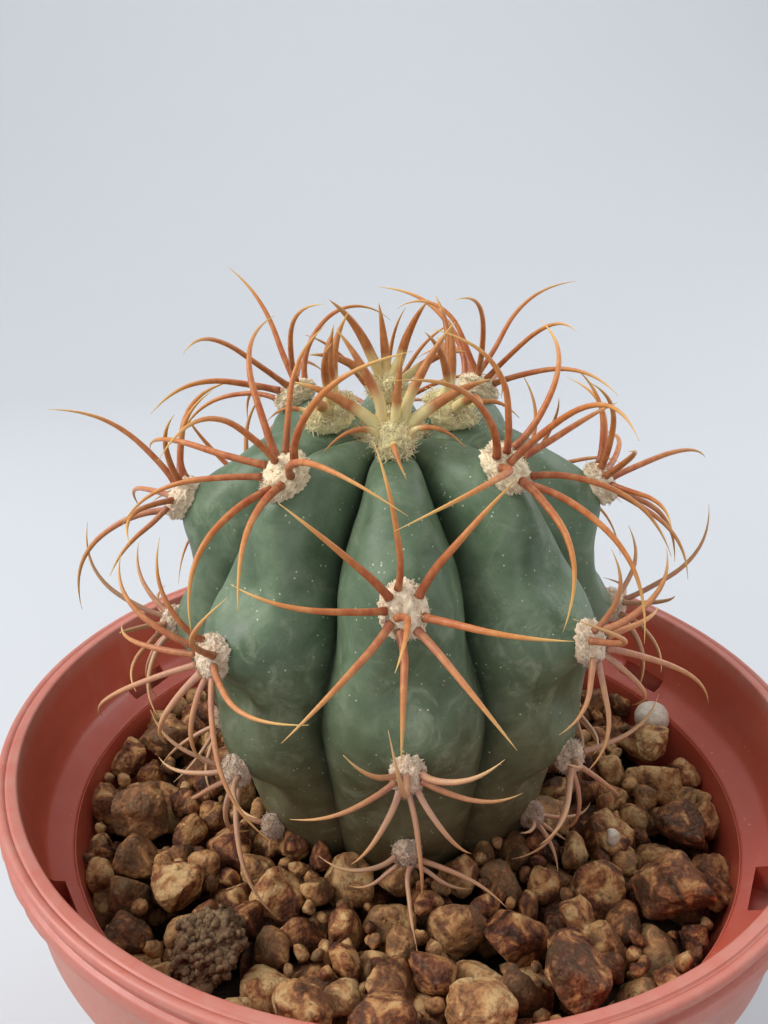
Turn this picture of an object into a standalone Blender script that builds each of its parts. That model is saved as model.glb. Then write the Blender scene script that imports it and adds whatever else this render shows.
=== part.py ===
"""Potted round cactus: a ribbed globe in a plastic nursery pot, top dressed with gravel.

Metres, +Z up. The origin is the centre of the pot's foot on the table, and -Y is the front.
"""

import math
import random

import bmesh
import bpy
import numpy as np
from mathutils import Euler, Matrix, Vector, noise
from mathutils.bvhtree import BVHTree

MM = 0.001
GAP = 0.3 * MM  # clearance between pieces that touch
EDGE_BREAK = 0.4 * MM  # small bevel on moulded edges

# Pot
POT_HEIGHT = 0.090
RIM_RADIUS = 0.060  # outside of the rolled rim and its lip
RIM_WIDTH = 0.003
RIM_BEAD = 0.0024  # height of the rolled bead above the groove
RIM_ROUND = 0.00096  # how far the bead's outer corner is rounded
RIM_GROOVE = 0.00056  # depth of the groove between bead and lip
LIP_HEIGHT = 0.0021
COLLAR_WALL = 0.0014
COLLAR_TAPER = 0.0020  # how much narrower the collar is at the shoulder than at the rim
COLLAR_STEP = 0.0020  # step in from the collar to the body of the pot
COLLAR_STEP_FALL = 0.0035
SHOULDER_DEPTH = 0.0136  # from the rim's top to the inner edge of the stacking shoulder
SHOULDER_WIDTH = 0.0041
SHOULDER_RISE = 0.0016
WALL = 0.0024
FLOOR = 0.0022
FOOT_RADIUS = 0.038
FOOT_HEIGHT = 0.0018
FOOT_WIDTH = 0.0026
POT_SIDES = 48
POCKETS = 6
POCKET_WIDTH = 0.009
POCKET_REACH = 0.0024  # how far a pocket cuts in from the shoulder's outer edge
POCKET_DEPTH = 0.0030
POCKET_START = 2.5  # degrees from the front to the first pocket
CUT_OVER = 0.0010  # how far a cutter stands clear of the face that it cuts through
DRAIN_HOLES = 6
DRAIN_RADIUS = 0.0025
DRAIN_RING = 0.022
DRAIN_SIDES = 8

# Filling
GRAVEL_DROP = 0.0180  # from the rim's top down to the mean gravel surface
GRAVEL_DEPTH = 0.0100
GRAVEL_BUMP = 0.0010  # height of the lumps above and below their middle
GRAVEL_BUMP_GAIN = 1.6  # steepens the lumps
GRAVEL_LUMPS = (0.006, 0.003)  # widths of the large and the small lumps
BED_RINGS = 7
MIX_DROP = GRAVEL_DROP + GRAVEL_DEPTH
FILL_SIDES = 40
LOOSE_LIFT = 0.0008  # clearance of a loose stone above the highest lump under it
DISH_REACH = (0.25, 0.5)  # shares of STEM_HEIGHT where the dish for the stem ends and its cutter ends

# Stem: its own axis leaves the gravel here and leans a little
STEM_X = -0.0012
STEM_Y = 0.0093
LEAN_FORWARD = 7.7  # degrees
LEAN_LEFT = 1.8
RIB_TURN = 2.2  # degrees from the front to the first rib
RIBS = 8
STEM_HEIGHT = 0.0635  # from the gravel surface to the highest point of the ribs
STEM_RADIUS = 0.034  # to the widest rib crest
STEM_ROOT = 0.014  # rounded base below the gravel surface
NOTCH = 0.0024  # how far a crest pulls in between two areoles
NOTCH_FADE = 0.10  # share of STEM_HEIGHT over which the notches fade in and out
NOTCH_TOP = 1.02  # share of STEM_HEIGHT where they have faded out
VALLEY_SWAY = 2.2  # degrees a valley swings from side to side past the areoles
RIB_FULLNESS = 0.9
RIB_COLUMNS = (0.0, 0.30, 0.64)  # share of a rib's half width at each mesh column

# Rib crest and valley, as shares of STEM_RADIUS and of STEM_HEIGHT above the gravel
CREST = (
    (0.720, -0.016), (0.780, 0.095), (0.853, 0.220), (0.941, 0.354), (0.991, 0.488),
    (1.000, 0.606), (0.971, 0.716), (0.891, 0.819), (0.765, 0.906), (0.603, 0.969),
    (0.412, 1.000), (0.235, 0.997), (0.103, 0.975),
)
VALLEY = (
    (0.632, -0.016), (0.682, 0.095), (0.729, 0.220), (0.765, 0.346), (0.776, 0.472),
    (0.729, 0.583), (0.632, 0.693), (0.500, 0.787), (0.368, 0.858), (0.294, 0.906),
    (0.250, 0.945), (0.176, 0.961), (0.088, 0.961),
)
ROOT_CREST = ((0.588, -0.50), (0.353, -0.86))  # radius share, share of STEM_ROOT
CROWN_DIP = 0.960  # height share at the very centre

# Areoles: heights along the stem as shares of STEM_HEIGHT, from the oldest up
EVEN_TIERS = (0.181, 0.496, 0.831)
ODD_TIERS = (0.118, 0.354, 0.669, 0.976)
EVEN_TILT = (-12, 3, 33)  # degrees that each areole looks up
ODD_TILT = (-12, -6, 14, 50)
EVEN_SIZE = (0.0019, 0.0022, 0.0029)
ODD_SIZE = (0.0018, 0.0021, 0.0026, 0.0031)
CROWN_RING = 0.0072  # radius of the ring of young areoles
CROWN_TILT = 62
CROWN_SIZE = 0.0027
CUSHION_SIDES = 10
CUSHION_HEIGHT = 0.0024
CUSHION_TALL = 1.22  # length over width, along the rib
CUSHION_RINGS = ((0.80, 0.0, 0.0), (1.0, 0.35, 0.5), (0.62, 0.92, 0.0))  # width, height, turn
DROP_FROM = 5  # cushions are lowered onto the skin from this many times their size above it

# Spines
SPINE_RADIUS = 0.00055
YOUNG_SPINE_RADIUS = 0.00080
SPINE_STEPS = 4
SPINE_FINE = 6  # path steps worked out for each mesh step
SPINE_CURVE = 1.4  # how much of the bend is left for the tip
SPINE_FOOT = (0.72, 0.55)  # where a spine starts, as shares of the cushion's width and height
SPINE_TAPER = (0.82, 1.3)  # share of the radius lost at the tip, and how late it is lost
SPINE_CLEARANCE = 0.0004
WALL_CLEARANCE = 0.0010
# What a crowded spine tries until it is free: shorter, then raised, then turned
SHORTER = (1.0, 0.92, 0.84, 0.74, 0.62, 0.5, 0.4)
RAISED = (0, 3, 6, 10, 14, 18, -4, 24, 30, 36)
TURNED = (0, 4, -4, 8, -8)
STAR_TURN = 7  # degrees that spines vary round their areole
STAR_LIFT = 3
STAR_LENGTH = 0.1

RIB_NAMES = (
    "front", "front_right", "right", "back_right", "back", "back_left", "left", "front_left",
)

# Each spine: clock angle round its areole (0 towards the crown, 90 to the right), lift above
# the skin, length in mm, how far it curls back down, how far it swings round. Degrees.
STARS = {
    "even_0": ((178, 50, 14, 10, 0), (95, 20, 13, -10, 0), (132, 30, 10, 35, 0),
               (238, 25, 9, 45, 0), (275, 25, 12, 45, 0)),
    "even_1": ((353, 64, 21, 55, 0), (309, 45, 13, 33, 8), (262, 31, 13, 33, 0),
               (215, 30, 12, 38, 0), (177, 30, 16, 31, 5), (141, 26, 13, 42, 0),
               (101, 28, 14, 40, 0), (62, 40, 12, 38, -10)),
    "even_2": ((185, 80, 20, 10, 0), (357, 35, 19, 24, -3), (47, 30, 17, 27, 0),
               (101, 36, 17, 24, -9), (144, 36, 17, 23, 0), (186, 31, 15, 26, -4),
               (229, 40, 18, 22, 0), (274, 26, 17, 39, 19), (315, 37, 17, 21, 0)),
    "odd_0": ((230, 36, 17, 23, 0), (155, 30, 7, 35, 0), (295, 28, 6, 40, 0), (118, 30, 13, 30, 0)),
    "odd_1": ((263, 34, 12, 28, 0), (218, 22, 17, 48, 0), (185, 20, 15, 50, 0),
              (147, 30, 19, 28, 0), (65, 34, 13, 28, 0), (310, 32, 12, 30, 0)),
    "odd_2": ((30, 60, 17, 45, 0), (338, 36, 15, 40, 0), (296, 34, 18, 48, 5),
              (264, 28, 16, 40, 0), (232, 30, 22, 48, -12), (206, 22, 16, 46, 0),
              (174, 22, 15, 45, 0), (140, 22, 20, 36, 0), (92, 30, 18, 40, -8)),
    "odd_3": ((180, 88, 24, 58, 0), (264, 27, 22, 46, 0), (312, 35, 22, 48, 10),
              (350, 42, 19, 46, -8), (47, 45, 23, 46, 0), (90, 40, 22, 45, 4),
              (140, 33, 21, 32, 12), (176, 30, 21, 46, -6), (222, 30, 21, 40, -12)),
    "crown": ((10, 68, 11, 10, 0), (325, 58, 14, 25, 0), (48, 58, 14, 25, 0),
              (285, 40, 12, 30, 0), (78, 40, 12, 30, 0), (180, 48, 8, 30, 0)),
}

# Areoles whose spines grew their own way
OWN_STARS = {
    "areole_front_left_4": ((155, 96, 23, 62, 0), (264, 26, 24, 50, 0), (315, 33, 23, 50, 15),
                            (350, 36, 18, 42, 0), (46, 48, 24, 46, 0), (89, 46, 26, 58, 4),
                            (225, 29, 21, 39, -13), (176, 32, 21, 47, -10), (144, 38, 21, 30, 8)),
    "areole_front_right_4": ((226, 90, 27, 55, 0), (317, 46, 21, 44, -14), (348, 58, 20, 58, -20),
                             (60, 42, 21, 48, -22), (92, 30, 18, 22, 0), (141, 26, 22, 36, 22),
                             (179, 26, 25, 41, 12), (202, 28, 21, 54, 12), (252, 42, 26, 60, 15)),
    "areole_front_left_3": ((40, 47, 20, 42, -4), (330, 34, 15, 42, 4), (294, 34, 18, 49, 5),
                            (264, 28, 16, 39, -3), (234, 32, 24, 50, -13), (212, 24, 16, 46, 0),
                            (176, 21, 14, 50, 0), (140, 20, 22, 36, 0), (91, 29, 19, 42, -10)),
    "areole_front_right_3": ((310, 56, 20, 60, 0), (357, 40, 14, 31, -4), (60, 41, 15, 50, 0),
                             (88, 31, 11, 36, 6), (126, 33, 22, 29, 17), (148, 22, 16, 50, 0),
                             (196, 20, 15, 33, 6), (233, 22, 11, 41, 5)),
    "areole_left_3": ((334, 67, 21, -32, 0), (304, 24, 21, 44, 0), (329, 31, 14, 37, 0),
                      (19, 42, 14, 32, 6), (90, 34, 16, 34, 0), (135, 24, 13, 12, 0),
                      (183, 37, 24, 52, 0), (234, 29, 21, 34, -7)),
    "areole_right_3": ((139, 74, 20, 48, 4), (346, 40, 17, 39, -7), (30, 38, 15, 34, 0),
                       (62, 34, 18, 40, 0), (100, 30, 19, 36, 0), (159, 24, 22, 30, 11),
                       (205, 30, 17, 40, 0), (262, 34, 15, 30, 0), (305, 36, 16, 30, 0)),
    "areole_back_left_4": ((286, 79, 22, -12, 0), (318, 50, 22, 20, 0), (21, 30, 22, 37, -8),
                           (62, 40, 25, 44, 0), (100, 36, 21, 42, 0), (148, 32, 20, 40, 0),
                           (192, 32, 20, 40, 0), (236, 32, 21, 42, 0)),
    "areole_back_right_4": ((221, 92, 23, 38, 0), (341, 34, 23, 50, 3), (30, 54, 20, 10, 0),
                            (72, 44, 23, 38, 0), (112, 34, 21, 42, 0), (156, 32, 20, 40, 0),
                            (262, 32, 21, 42, 0), (303, 42, 23, 44, 0)),
    "areole_front_5": ((15, 72, 11, 5, 0), (325, 52, 14, 18, 0), (40, 52, 15, 18, 0),
                       (290, 36, 13, 26, 0), (72, 36, 13, 26, 0), (255, 40, 8, 60, 0),
                       (105, 40, 8, 60, 0), (180, 42, 7, 35, 0)),
}

# Loose stones on the ring of gravel: bearing in degrees from the front, then the place across the
# ring from the stem (0) to the pot's wall (1), the size as a share of the ring's width there, and
# the height as a share of that size
STONES = {
    "stone_front": (-4, 0.84, 0.28, 0.67),
    "stone_front_2": (11, 0.80, 0.25, 0.75),
    "stone_front_left": (-17, 0.84, 0.25, 0.75),
    "stone_front_left_2": (-56, 0.65, 0.31, 0.67),
    "stone_left": (-78, 0.67, 0.39, 0.70),
    "stone_left_back": (-107, 0.67, 0.43, 0.67),
    "stone_back_left": (-148, 0.71, 0.51, 0.75),
    "stone_back": (175, 0.70, 0.53, 0.62),
    "stone_front_right": (28, 0.82, 0.31, 0.70),
    "stone_right": (58, 0.77, 0.36, 0.64),
    "stone_right_2": (78, 0.77, 0.32, 0.67),
    "stone_right_back": (104, 0.73, 0.37, 0.67),
}
SOIL_CLUMP = (-36, 0.76, 0.42, 0.62)
WHITE_BEAD = (136, 0.72, 0.30, 0.90)
STONE_LEVEL = 0.004  # height above the gravel where the ring's width is measured
STONE_ROUGHNESS = 0.5
SOIL_ROUGHNESS = 0.7
BEAD_ROUGHNESS = 0.06
STONE_LUMPS = 2.2  # lumps across one stone
STONE_ASPECT = (0.72, 0.88)  # depth over width

COLORS = {
    "pot": (0.42, 0.10, 0.065, 0.45),
    "potting_mix": (0.035, 0.025, 0.018, 0.95),
    "gravel": (0.30, 0.17, 0.08, 0.85),
    "soil": (0.10, 0.075, 0.055, 0.95),
    "bead": (0.75, 0.72, 0.65, 0.6),
    "stem": (0.11, 0.20, 0.15, 0.5),
    "spines": (0.55, 0.24, 0.09, 0.45),
}


def clear_scene():
    for obj in list(bpy.context.scene.objects):
        bpy.data.objects.remove(obj, do_unlink=True)


def material(name):
    """The named Principled material, made the first time it is asked for."""
    found = bpy.data.materials.get(name)
    if found:
        return found
    made = bpy.data.materials.new(name)
    made.use_nodes = True
    shader = made.node_tree.nodes["Principled BSDF"]
    red, green, blue, roughness = COLORS[name]
    shader.inputs["Base Color"].default_value = (red, green, blue, 1.0)
    shader.inputs["Roughness"].default_value = roughness
    shader.inputs["Metallic"].default_value = 0.0
    return made


def add_object(name, mesh_maker, color, smooth_angle=40):
    """A new object from a bmesh, shaded smooth below the given angle."""
    mesh = bpy.data.meshes.new(name)
    bmesh.ops.recalc_face_normals(mesh_maker, faces=mesh_maker.faces)
    mesh_maker.to_mesh(mesh)
    mesh_maker.free()
    mesh.shade_smooth()
    mesh.set_sharp_from_angle(angle=math.radians(smooth_angle))
    obj = bpy.data.objects.new(name, mesh)
    bpy.context.scene.collection.objects.link(obj)
    mesh.materials.append(material(color))
    return obj


def cut(obj, cutter):
    """Takes the cutter out of the object with an exact Boolean and keeps the cutter as a guide."""
    cutter.hide_render = True
    cutter.display_type = "WIRE"
    boolean = obj.modifiers.new("cut_" + cutter.name, "BOOLEAN")
    boolean.operation = "DIFFERENCE"
    boolean.solver = "EXACT"
    boolean.object = cutter


def lathe(profile, sides):
    """A closed body turned from a profile of (radius, height) that may start or end on the axis."""
    made = bmesh.new()
    rings = []
    for radius, height in profile:
        if radius < GAP:
            rings.append([made.verts.new((0, 0, height))])
            continue
        turns = [2 * math.pi * k / sides for k in range(sides)]
        rings.append([
            made.verts.new((radius * math.sin(a), -radius * math.cos(a), height)) for a in turns
        ])
    closed = len(rings[0]) > 1 and len(rings[-1]) > 1
    pairs = list(zip(rings, rings[1:])) + ([(rings[-1], rings[0])] if closed else [])
    for low, high in pairs:
        for k in range(sides):
            following = (k + 1) % sides
            if len(low) == 1:
                corners = (low[0], high[following], high[k])
            elif len(high) == 1:
                corners = (low[k], low[following], high[0])
            else:
                corners = (low[k], low[following], high[following], high[k])
            made.faces.new(corners)
    return made


# --- pot -------------------------------------------------------------------------------------

RIM_INNER = RIM_RADIUS - RIM_WIDTH
LEDGE_OUTER = RIM_INNER - COLLAR_TAPER
LEDGE_INNER = LEDGE_OUTER - SHOULDER_WIDTH
LEDGE_TOP = POT_HEIGHT - SHOULDER_DEPTH + SHOULDER_RISE
LEDGE_LOW = POT_HEIGHT - SHOULDER_DEPTH
COLLAR_FOOT = LEDGE_LOW - POCKET_DEPTH - COLLAR_WALL
FLOOR_TOP = FOOT_HEIGHT + FLOOR
INNER_FLOOR_RADIUS = FOOT_RADIUS - WALL + EDGE_BREAK


def inner_wall(height):
    """Radius of the pot's inner wall below its shoulder."""
    share = (height - FLOOR_TOP) / (LEDGE_LOW - FLOOR_TOP)
    return INNER_FLOOR_RADIUS + (LEDGE_INNER - INNER_FLOOR_RADIUS) * share


def pot_profile():
    lip_top = POT_HEIGHT - RIM_BEAD
    lip_foot = lip_top - LIP_HEIGHT
    collar_top = RIM_INNER + COLLAR_WALL - EDGE_BREAK
    collar_low = LEDGE_OUTER + COLLAR_WALL
    return [
        (0, FLOOR_TOP),
        (INNER_FLOOR_RADIUS, FLOOR_TOP),
        (LEDGE_INNER, LEDGE_LOW),
        (LEDGE_OUTER, LEDGE_TOP),
        (RIM_INNER, POT_HEIGHT - EDGE_BREAK),
        (RIM_INNER + EDGE_BREAK, POT_HEIGHT),
        (RIM_RADIUS - RIM_ROUND, POT_HEIGHT),
        (RIM_RADIUS, POT_HEIGHT - RIM_ROUND),
        (RIM_RADIUS - RIM_GROOVE, lip_top),
        (RIM_RADIUS, lip_top - EDGE_BREAK),
        (RIM_RADIUS, lip_foot),
        (collar_top, lip_foot),
        (collar_low, COLLAR_FOOT),
        (collar_low - COLLAR_STEP, COLLAR_FOOT - COLLAR_STEP_FALL),
        (FOOT_RADIUS, FOOT_HEIGHT),
        (FOOT_RADIUS - EDGE_BREAK, 0),
        (FOOT_RADIUS - FOOT_WIDTH, 0),
        (FOOT_RADIUS - FOOT_WIDTH - EDGE_BREAK, FOOT_HEIGHT),
        (0, FOOT_HEIGHT),
    ]


def box_between(low, high, turn):
    """A box between two corners, turned about the Z axis."""
    made = bmesh.new()
    bmesh.ops.create_cube(made, size=1)
    size = Vector(high) - Vector(low)
    centre = (Vector(high) + Vector(low)) / 2
    bmesh.ops.scale(made, vec=size, verts=made.verts)
    bmesh.ops.translate(made, vec=centre, verts=made.verts)
    bmesh.ops.rotate(made, cent=(0, 0, 0), matrix=Matrix.Rotation(turn, 3, "Z"), verts=made.verts)
    return made


def build_pot():
    pot = add_object("pot", lathe(pot_profile(), POT_SIDES), "pot")
    for k in range(POCKETS):
        turn = math.radians(POCKET_START + k * 360 / POCKETS)
        low = (-POCKET_WIDTH / 2, -LEDGE_OUTER - 0.0002, LEDGE_LOW - POCKET_DEPTH)
        high = (POCKET_WIDTH / 2, -LEDGE_OUTER + POCKET_REACH, LEDGE_TOP + CUT_OVER)
        cut(pot, add_object(f"cut_pocket_{k + 1}", box_between(low, high, turn), "pot"))
    spots = [(0, 0)]
    for k in range(DRAIN_HOLES):
        turn = 2 * math.pi * k / DRAIN_HOLES
        spots.append((DRAIN_RING * math.sin(turn), -DRAIN_RING * math.cos(turn)))
    for k, (x, y) in enumerate(spots):
        drill = bmesh.new()
        bmesh.ops.create_cone(drill, cap_ends=True, segments=DRAIN_SIDES, radius1=DRAIN_RADIUS,
                              radius2=DRAIN_RADIUS, depth=4 * FLOOR,
                              matrix=Matrix.Translation((x, y, FLOOR_TOP)))
        cut(pot, add_object(f"cut_drain_{k + 1}", drill, "pot"))
    return pot


# --- stem ------------------------------------------------------------------------------------

GRAVEL_TOP = POT_HEIGHT - GRAVEL_DROP
STEM_LEAN = Euler((math.radians(LEAN_FORWARD), math.radians(-LEAN_LEFT), 0), "XYZ").to_matrix()
STEM_FRAME = Matrix.Translation((STEM_X, STEM_Y, GRAVEL_TOP)) @ STEM_LEAN.to_4x4()


def stem_outline(shares):
    """Points (radius, height) from the root up to the crown, for a crest or a valley."""
    first = Vector(shares[0])
    root = [(0, -STEM_ROOT)]
    for radius, depth in reversed(ROOT_CREST):
        root.append((radius * STEM_RADIUS * first.x / CREST[0][0], depth * STEM_ROOT))
    body = [(r * STEM_RADIUS, h * STEM_HEIGHT) for r, h in shares]
    return np.array(root + body + [(0, CROWN_DIP * STEM_HEIGHT)])


CREST_LINE = stem_outline(CREST)
VALLEY_LINE = stem_outline(VALLEY)


def crest_at(height):
    """Crest radius at a height, on the part of the rib below its shoulder."""
    rising = CREST_LINE[: int(np.argmax(CREST_LINE[:, 1])) + 1]
    return float(np.interp(height, rising[:, 1], rising[:, 0]))


def growth(height, tiers):
    """Counts the areoles passed on the way up a rib, so that it is whole at each areole."""
    beyond = 1.3 * STEM_HEIGHT
    heights = [t * STEM_HEIGHT for t in tiers] + [beyond]
    steps = list(range(len(heights)))
    if height < heights[0]:
        return (height - heights[0]) / (heights[1] - heights[0])
    return float(np.interp(height, heights, steps))


def rib_swell(height, odd):
    """1 at an areole and 0 halfway to the next."""
    tiers = ODD_TIERS if odd else EVEN_TIERS
    if height > tiers[-1] * STEM_HEIGHT and odd:
        return 1.0
    return 0.5 + 0.5 * math.cos(2 * math.pi * growth(height, tiers))


def stem_point(row, rib, side):
    """A point of the skin: row along the outline, rib number, side from -1 to 1 across the rib."""
    crest, valley = CREST_LINE[row], VALLEY_LINE[row]
    odd = rib % 2 == 1
    height = crest[1]
    fade = NOTCH_FADE * STEM_HEIGHT
    above_ground = np.clip(height / fade, 0, 1)
    at_top = np.clip((STEM_HEIGHT * NOTCH_TOP - height) / fade, 0, 1)
    pull = NOTCH * (1 - rib_swell(height, odd)) * above_ground * at_top
    before = CREST_LINE[max(row - 1, 0)]
    after = CREST_LINE[min(row + 1, len(CREST_LINE) - 1)]
    along = (after - before) / max(np.linalg.norm(after - before), 1e-9)
    crest = crest - pull * np.array([along[1], -along[0]])
    weight = math.cos(math.pi / 2 * abs(side)) ** RIB_FULLNESS if abs(side) < 1 else 0.0
    radius, level = valley + (crest - valley) * weight
    sway = VALLEY_SWAY * (2 * rib_swell(height, False) - 1) * above_ground * at_top
    half = 180 / RIBS + (-sway if odd else sway)
    turn = math.radians(RIB_TURN + rib * 360 / RIBS + side * half)
    return STEM_FRAME @ Vector((radius * math.sin(turn), -radius * math.cos(turn), level))


def build_stem():
    made = bmesh.new()
    sides = [-c for c in reversed(RIB_COLUMNS[1:])] + list(RIB_COLUMNS)
    columns = [(rib, side) for rib in range(RIBS) for side in [-1.0] + sides]
    bottom = made.verts.new(STEM_FRAME @ Vector((0, 0, -STEM_ROOT)))
    top = made.verts.new(STEM_FRAME @ Vector((0, 0, CROWN_DIP * STEM_HEIGHT)))
    rows = [[made.verts.new(stem_point(row, rib, side)) for rib, side in columns]
            for row in range(1, len(CREST_LINE) - 1)]
    count = len(columns)
    for k in range(count):
        following = (k + 1) % count
        made.faces.new((bottom, rows[0][following], rows[0][k]))
        made.faces.new((top, rows[-1][k], rows[-1][following]))
        for low, high in zip(rows, rows[1:]):
            made.faces.new((low[k], low[following], high[following], high[k]))
    return add_object("stem", made, "stem", 75)


# --- filling ---------------------------------------------------------------------------------


def stem_clearance_cutter(name):
    """The space that the stem's base needs in the gravel and the mix."""
    grow = GAP * 2
    chord = 1 / math.cos(math.pi / FILL_SIDES)
    keep = [p for p in CREST_LINE if p[1] < DISH_REACH[0] * STEM_HEIGHT]
    profile = [(0, -STEM_ROOT - grow)]
    profile += [((r + grow) * chord, h - grow * (h < 0)) for r, h in keep[1:]]
    widest = max(r for r, _ in profile)
    above = DISH_REACH[1] * STEM_HEIGHT
    profile += [(widest, above), (0, above)]
    made = lathe(profile, FILL_SIDES)
    bmesh.ops.transform(made, matrix=STEM_FRAME, verts=made.verts)
    return add_object(name, made, "stem")


def gravel_radius(height):
    """Largest radius that clears the flats of the pot's inner wall at a height."""
    return inner_wall(height) * math.cos(math.pi / POT_SIDES) - GAP


def build_mix():
    top = POT_HEIGHT - MIX_DROP - GAP
    low = FLOOR_TOP + GAP
    profile = [(0, low), (gravel_radius(low), low), (gravel_radius(top), top), (0, top)]
    mix = add_object("potting_mix", lathe(profile, FILL_SIDES), "potting_mix")
    cut(mix, stem_clearance_cutter("cut_mix_dish"))
    return mix


def gravel_height(x, y):
    """Height of the gravel layer's lumpy top."""
    large, small = GRAVEL_LUMPS
    lumps = noise.noise(Vector((x, y, 0)) / large)
    lumps += 0.5 * noise.noise(Vector((y, x, 0.02)) / small)
    lumps = max(-1.0, min(1.0, lumps * GRAVEL_BUMP_GAIN))
    return GRAVEL_TOP + GRAVEL_BUMP * (lumps - GRAVEL_BUMP_GAIN)


def build_gravel_bed():
    low = POT_HEIGHT - MIX_DROP
    edge_height = GRAVEL_TOP - 3 * GRAVEL_BUMP
    edge_radius = gravel_radius(edge_height)
    made = bmesh.new()
    centre = made.verts.new((0, 0, gravel_height(0, 0)))
    underside = made.verts.new((0, 0, low))
    grid = []
    for j in range(1, BED_RINGS + 1):
        ring = []
        for k in range(FILL_SIDES):
            turn = 2 * math.pi * (k + 0.5 * (j % 2)) / FILL_SIDES
            radius = edge_radius * j / BED_RINGS
            x, y = radius * math.sin(turn), -radius * math.cos(turn)
            ring.append(made.verts.new((x, y, gravel_height(x, y))))
        grid.append(ring)
    edge = []
    squeeze = gravel_radius(low) / edge_radius
    for corner in grid[-1]:
        edge.append(made.verts.new((corner.co.x * squeeze, corner.co.y * squeeze, low)))
    for k in range(FILL_SIDES):
        following = (k + 1) % FILL_SIDES
        made.faces.new((centre, grid[0][k], grid[0][following]))
        made.faces.new((underside, edge[following], edge[k]))
        made.faces.new((grid[-1][k], edge[k], edge[following], grid[-1][following]))
        for inner, outer in zip(grid, grid[1:]):
            made.faces.new((inner[k], outer[k], outer[following], inner[following]))
    bed = add_object("gravel_bed", made, "gravel", 20)
    cut(bed, stem_clearance_cutter("cut_gravel_ring"))
    return bed


def stem_edge(bearing):
    """Distance from the pot's axis to the stem's outline at the level of the loose stones."""
    centre = STEM_FRAME @ Vector((0, 0, STONE_LEVEL))
    radius = crest_at(STONE_LEVEL)
    turn = math.radians(bearing)
    along = centre.x * math.sin(turn) - centre.y * math.cos(turn)
    aside_squared = centre.x**2 + centre.y**2 - along**2
    return along + math.sqrt(radius**2 - aside_squared)


def build_stone(name, bearing, place, size, tallness, color, roughness):
    """A rounded lump with its own shape, resting on the highest bump under it."""
    ring = gravel_radius(GRAVEL_TOP) - stem_edge(bearing)
    across = ring * size
    out_to = stem_edge(bearing) + ring * place
    x = out_to * math.sin(math.radians(bearing))
    y = -out_to * math.cos(math.radians(bearing))
    dice = random.Random(name)
    made = bmesh.new()
    bmesh.ops.create_icosphere(made, subdivisions=2, radius=0.5)
    shift = Vector((dice.random(), dice.random(), dice.random())) * 10
    for vert in made.verts:
        vert.co *= 1 + roughness * noise.noise(vert.co * STONE_LUMPS + shift)
    spin = Euler((0, 0, dice.uniform(0, math.tau))).to_matrix()
    depth = across * dice.uniform(*STONE_ASPECT)
    bmesh.ops.scale(made, vec=(across, depth, across * tallness), verts=made.verts)
    bmesh.ops.rotate(made, cent=(0, 0, 0), matrix=spin, verts=made.verts)
    lowest = min(v.co.z for v in made.verts)
    seat = highest_gravel(x, y, across / 2)
    bmesh.ops.translate(made, vec=(x, y, seat + LOOSE_LIFT - lowest), verts=made.verts)
    return add_object(name, made, color, 30)


def highest_gravel(x, y, reach):
    """Height of the highest lump within reach of a spot, by sampling rings around it."""
    heights = []
    for share in (0, 0.5, 1.0):
        for k in range(12):
            turn = k * math.tau / 12
            spot_x = x + reach * share * math.sin(turn)
            spot_y = y + reach * share * math.cos(turn)
            heights.append(gravel_height(spot_x, spot_y))
    return max(heights)


# --- areoles and spines ----------------------------------------------------------------------


class Areole:
    """Where one areole sits on the stem, with its outward, upward and rightward directions."""

    def __init__(self, name, rib, radius, height, tilt, size, star):
        turn = math.radians(RIB_TURN + rib * 360 / RIBS)
        outward = Vector((math.sin(turn), -math.cos(turn), 0))
        tip = math.radians(tilt)
        turn_frame = STEM_FRAME.to_3x3()
        self.name = name
        self.place = STEM_FRAME @ (outward * radius + Vector((0, 0, height)))
        self.out = turn_frame @ (outward * math.cos(tip) + Vector((0, 0, math.sin(tip))))
        self.up = turn_frame @ (-outward * math.sin(tip) + Vector((0, 0, math.cos(tip))))
        self.right = self.up.cross(self.out)
        self.size = size
        self.star = star
        self.young = star == "crown"

    def seat_on(self, skin):
        """Moves the areole along its axis until its cushion just clears the skin under it."""
        above = DROP_FROM * self.size
        drops = []
        for across in (0, 0.5, 1.0):
            for k in range(CUSHION_SIDES):
                start = self.at(math.tau * k / CUSHION_SIDES, across * self.size, above)
                foot = skin.ray_cast(start, -self.out)[0]
                if foot is not None:
                    drops.append((start - foot).length)
        self.place += self.out * (above - min(drops) + GAP)

    def at(self, clock, across, lift):
        """A point by its clock angle, its distance from the middle and its height."""
        flat = self.up * math.cos(clock) * CUSHION_TALL + self.right * math.sin(clock)
        return self.place + flat * across + self.out * lift


def all_areoles():
    found = []
    for rib in range(RIBS):
        odd = rib % 2 == 1
        kind = "odd" if odd else "even"
        tiers = ODD_TIERS if odd else EVEN_TIERS
        tilts = ODD_TILT if odd else EVEN_TILT
        sizes = ODD_SIZE if odd else EVEN_SIZE
        for k, (tier, tilt, size) in enumerate(zip(tiers, tilts, sizes)):
            height = tier * STEM_HEIGHT
            name = f"areole_{RIB_NAMES[rib]}_{k + 1}"
            found.append(Areole(name, rib, crest_at(height), height, tilt, size, f"{kind}_{k}"))
        if not odd:
            height = CREST_LINE[-3][1]
            name = f"areole_{RIB_NAMES[rib]}_5"
            found.append(Areole(name, rib, CROWN_RING, height, CROWN_TILT, CROWN_SIZE, "crown"))
    return found


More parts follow.
